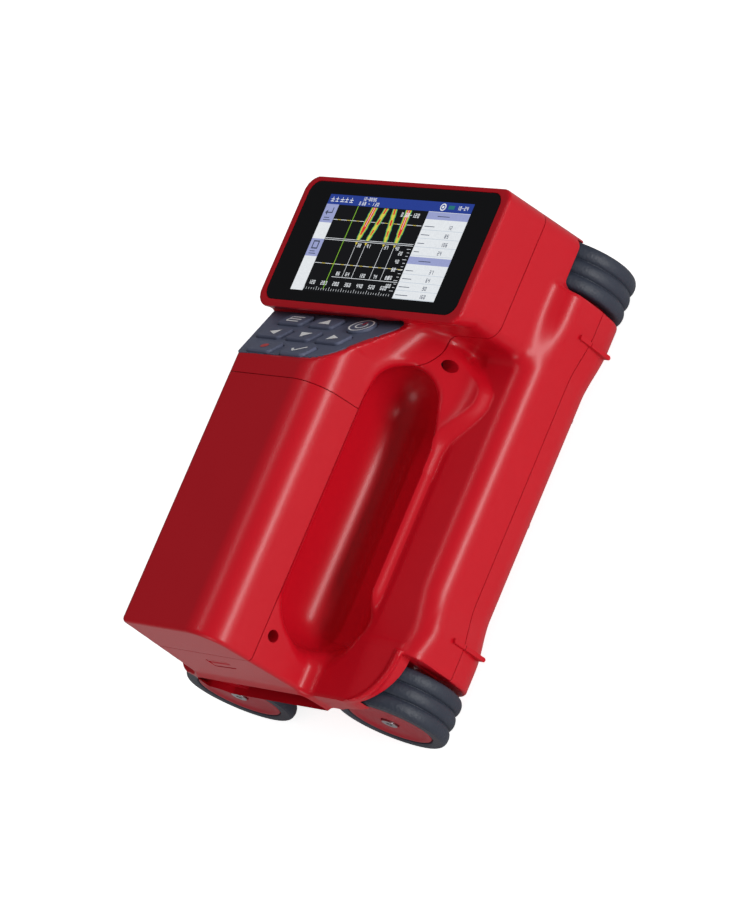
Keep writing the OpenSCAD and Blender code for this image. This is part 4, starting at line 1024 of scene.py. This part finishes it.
def lathe(name, profile, centre, count=96):
    """Turned piece about Y: profile of (radius, Y) pairs in millimetres, closed from end to end."""
    profile = np.asarray(profile)
    angles = 2 * math.pi * np.arange(count) / count
    rows = len(profile)
    vertices = np.empty((count, rows, 3))
    vertices[:, :, 0] = centre[0] + profile[None, :, 0] * np.cos(angles)[:, None]
    vertices[:, :, 1] = profile[None, :, 1]
    vertices[:, :, 2] = centre[1] + profile[None, :, 0] * np.sin(angles)[:, None]
    a = np.arange(count)[:, None] * rows
    b = (np.arange(count)[:, None] + 1) % count * rows
    i = np.arange(rows)[None, :]
    j = (i + 1) % rows
    faces = np.stack([a + i, a + j, b + j, b + i], axis=2).reshape(-1, 4)
    return mesh_object(name, vertices.reshape(-1, 3), faces)


def tyre_profile(side):
    """Ring with rounded ribs, drawn from its outer face inwards."""
    out, width = WHEEL_OUT_Y, TYRE_W
    points = [(HUB_R + 0.1, out - width + 0.3), (HUB_R + 0.1, out - 0.9), (HUB_R + 0.5, out - 0.25),
              (HUB_R + 1.6, out), (HUB_R + 3.4, out - 0.05)]
    for rib in range(RIBS):
        for t in np.linspace(-RIB_SWEEP, RIB_SWEEP, 15):
            y = out - width * (rib + (t + 1) / 2) / RIBS
            sink = (1 - math.sqrt(1 - t * t)) / (1 - math.sqrt(1 - RIB_SWEEP ** 2))
            points.append((WHEEL_R - GROOVE * sink, y))
    points += [(HUB_R + 3.0, out - width), (HUB_R + 1.2, out - width)]
    return [(r, y * side) for r, y in points]


def hub_profile(side):
    """Disc that carries the tyre, with a shallow dish and a pocket for the screw."""
    out = WHEEL_OUT_Y - 0.25
    profile = ((4.1, 21), (4.1, 2.6), (4.6, 0.9), (5.4, 0.55), (6.2, 0.7), (12.0, 0.9), (17.4, 0.8),
               (18.2, 0.3), (19.6, 0.15), (20.4, 0.35), (HUB_R, 1.0), (HUB_R, 21))
    return [(r, (out - depth) * side) for r, depth in profile]


def build_wheels():
    for x, left_right in ((-AXLE_X, "left"), (AXLE_X, "right")):
        for side, near_far in ((-1, "near"), (1, "far")):
            stem = near_far + "_" + left_right
            for kind, profile, material, slot in (("tyre", tyre_profile, RUBBER, "tyre_rubber"),
                                                  ("hub", hub_profile, HUB_RED, "red_hub")):
                outline = profile(side)[::side]
                piece = dress(lathe(stem + "_" + kind + "_turned", outline, (x, AXLE_Z)), material)
                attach(piece, left_right + "_wheel_set")
                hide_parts(stem + "_" + kind)


build_wheels()


# Latch, flap and side screws

def latch_field(x, y, z):
    """Button with a groove for the fingertip."""
    lean = (x - LATCH_X) * LATCH_LEAN
    block = round_and(latch_outline(x, z - lean, 0), -END_Y + 0.15 - y, 0.5)
    grip = np.hypot(z - lean - LATCH_Z - 1.0, y + END_Y + 0.7) - 1.3
    return meet(cut(block, grip), y + END_Y - LATCH_DEPTH)


def flap_field(x, y, z):
    """Rubber slab with a fingernail groove, hung from a bar."""
    slab = rounded_rectangle(x, z, PORT_X - FLAP_HALF_W, PORT_X + FLAP_HALF_W,
                             PORT_Z - FLAP_HALF_H, FLAP_AXIS_Z + 3, 1.2)
    slab = meet(slab, z - FLAP_AXIS_Z)
    slab = round_and(slab, np.abs(y - FLAP_AXIS_Y) - FLAP_R, 0.3)
    nib = np.hypot(x - PORT_X, (z - PORT_Z + 5.2) * 1.4) - 3.0
    slab = cut(slab, meet(nib, FLAP_AXIS_Y + 0.2 - y))
    bar = np.hypot(y - FLAP_AXIS_Y, z - FLAP_AXIS_Z) - FLAP_R
    return join(slab, meet(bar, np.abs(x - PORT_X) - FLAP_HALF_W))


def side_screw_field(place):
    """Field of a screw head with a hexagon socket, facing out of the right wall."""
    sx, sy, sz = place
    face = sx - SCREW_SINK + 1.9

    def screw(x, y, z):
        dy, dz = y - sy, z - sz
        head = round_and(np.hypot(dy, dz) - SCREW_HEAD_R, x - face, 0.5)
        head = meet(head, face - SCREW_HEAD_H - x)
        slants = (np.abs(dz * 0.5 + turn * dy * 0.866) for turn in (1, -1))
        socket = meet(np.abs(dz), *slants) - SOCKET_R
        return cut(head, meet(socket, face - SOCKET_DEPTH - x))

    return screw


def build_small_parts():
    small = [
        ("latch_button", latch_field, "door_latch", "door_latch", RED, "red_shell", 0.5,
         (LATCH_X - 9, -END_Y - 0.6, LATCH_Z - 5.4), (LATCH_X + 9, -END_Y + 5.2, LATCH_Z + 5.4)),
        ("socket_flap", flap_field, "port_flap", "port_flap", SEAL, "seal_rubber", 0.5,
         (PORT_X - 11, FLAP_AXIS_Y - 1.8, PORT_Z - 6), (PORT_X + 11, FLAP_AXIS_Y + 1.8, PORT_Z + 6)),
    ]
    for name, (sx, sy, sz) in SIDE_SCREWS.items():
        small.append((name + "_side_screw", side_screw_field((sx, sy, sz)), "side_screws", "housing",
                      DARK_STEEL, "dark_steel", 0.3, (sx - SCREW_SINK - 1.5, sy - 3.6, sz - 3.6),
                      (sx - SCREW_SINK + 2.9, sy + 3.6, sz + 3.6)))
    for name, field, node, body, material, slot, step, low, high in small:
        piece = dress(field_piece(name, field, low, high, step), material)
        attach(piece, body)
        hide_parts(node)


build_small_parts()


# Nodes that are kept from the pack

def dress_frame():
    looks = (
        (STEEL, "key_domes left_axle right_axle base_screws usb_socket left_hub_screws right_hub_screws"),
        (BOARD, "display_board keypad_board main_board coil_board port_board"),
        (CHIP, "buzzer main_board_parts encoder_disc encoder_sensor"),
        (BRASS, "battery_contacts axle_bushes"), (SEAL, "display_gasket parting_gasket"),
        (TRAY, "battery_tray"), (CELL, "battery_pack"), (PANEL, "lcd_panel"), (COPPER, "sensor_coils"),
    )
    plain = {name: material for material, names in looks for name in names.split()}
    for name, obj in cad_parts.items():
        dress(obj, plain.get(name, RED))


dress_frame()


# Stage, lights and camera

# Shares of full brightness: the ground and the surroundings for the camera, the world as a lamp
GROUND_LIFT, WORLD_SEEN, WORLD_LAMP, WORLD_MIRRORED = 0.8, 1.0, 0.28, 0.1
GROUND = 4000

# Camera: focal length and picture height in pixels of the photo, place (m) and turn (radians)
FOCAL_PX, PHOTO_H_PX, SENSOR_H = 5156.85, 898, 36
CAMERA_PLACE = (1.732978, -0.594449, 1.579418)
CAMERA_TURN = (0.609283, 0.678002, 0.507839)


def area_light(name, place, target, width, length, power, along=(0, 0, 1)):
    """Rectangular lamp facing its target, with its length as near as can be to the direction along."""
    data = bpy.data.lights.new(name, "AREA")
    data.shape = "RECTANGLE"
    data.size, data.size_y = width, length
    data.energy = power
    lamp = add_object(name, data)
    back = (Vector(place) - Vector(target)).normalized()
    side = Vector(along).cross(back).normalized()
    lamp.rotation_euler = Matrix((side, back.cross(side), back)).transposed().to_euler()
    lamp.location = place


def build_ground():
    """White floor that shines a little for the camera only."""
    material, nodes, links, shader = new_material("floor_white")
    fill(shader, {"Base Color": (0.9, 0.9, 0.9, 1), "Roughness": 0.9, "Emission Color": (1, 1, 1, 1)})
    path = nodes.new("ShaderNodeLightPath")
    lift = nodes.new("ShaderNodeMath")
    lift.operation = "MULTIPLY"
    fill(lift, {1: GROUND_LIFT})
    links.new(path.outputs["Is Camera Ray"], lift.inputs[0])
    links.new(lift.outputs["Value"], shader.inputs["Emission Strength"])
    corners = [(-GROUND, -GROUND, 0), (GROUND, -GROUND, 0), (GROUND, GROUND, 0), (-GROUND, GROUND, 0)]
    polygon_object("floor", [(0, corners)], [material])


def build_world():
    """White for the camera, a weak lamp for surfaces and darker still in reflections."""
    world = bpy.data.worlds.new("studio")
    bpy.context.scene.world = world
    world.use_nodes = True
    nodes, links = world.node_tree.nodes, world.node_tree.links
    background = nodes["Background"]
    fill(background, {"Color": (1, 1, 1, 1)})
    path = nodes.new("ShaderNodeLightPath")
    seen = nodes.new("ShaderNodeMix")
    seen.data_type = "FLOAT"
    fill(seen, {2: WORLD_LAMP, 3: WORLD_SEEN})
    links.new(path.outputs["Is Camera Ray"], seen.inputs[0])
    mirrored = nodes.new("ShaderNodeMix")
    mirrored.data_type = "FLOAT"
    fill(mirrored, {3: WORLD_MIRRORED})
    links.new(path.outputs["Is Glossy Ray"], mirrored.inputs[0])
    links.new(seen.outputs[0], mirrored.inputs[2])
    links.new(mirrored.outputs[0], background.inputs["Strength"])


def build_lights():
    """Each lamp: place and target in metres, width, length and watts."""
    area_light("key_light", (1.53, 0.15, 0.36), (0, 0, 0.06), 1.4, 0.18, 15)
    area_light("crest_strip", (0.13, 0.38, 1.45), (0, 0, 0.1), 0.05, 1.2, 2.4, along=(0, 1, 0))
    area_light("end_fill", (0.3, -1.6, 0.45), (0, 0, 0.05), 0.7, 0.5, 3.4)


def build_camera():
    data = bpy.data.cameras.new("camera")
    data.sensor_fit = "VERTICAL"
    data.sensor_height = SENSOR_H
    data.lens = FOCAL_PX * SENSOR_H / PHOTO_H_PX
    data.clip_start, data.clip_end = 0.1, 20
    camera = add_object("camera", data)
    camera.location = CAMERA_PLACE
    camera.rotation_euler = CAMERA_TURN
    bpy.context.scene.camera = camera


build_ground()
build_world()
build_lights()
build_camera()
bpy.context.scene.view_settings.view_transform = "Standard"
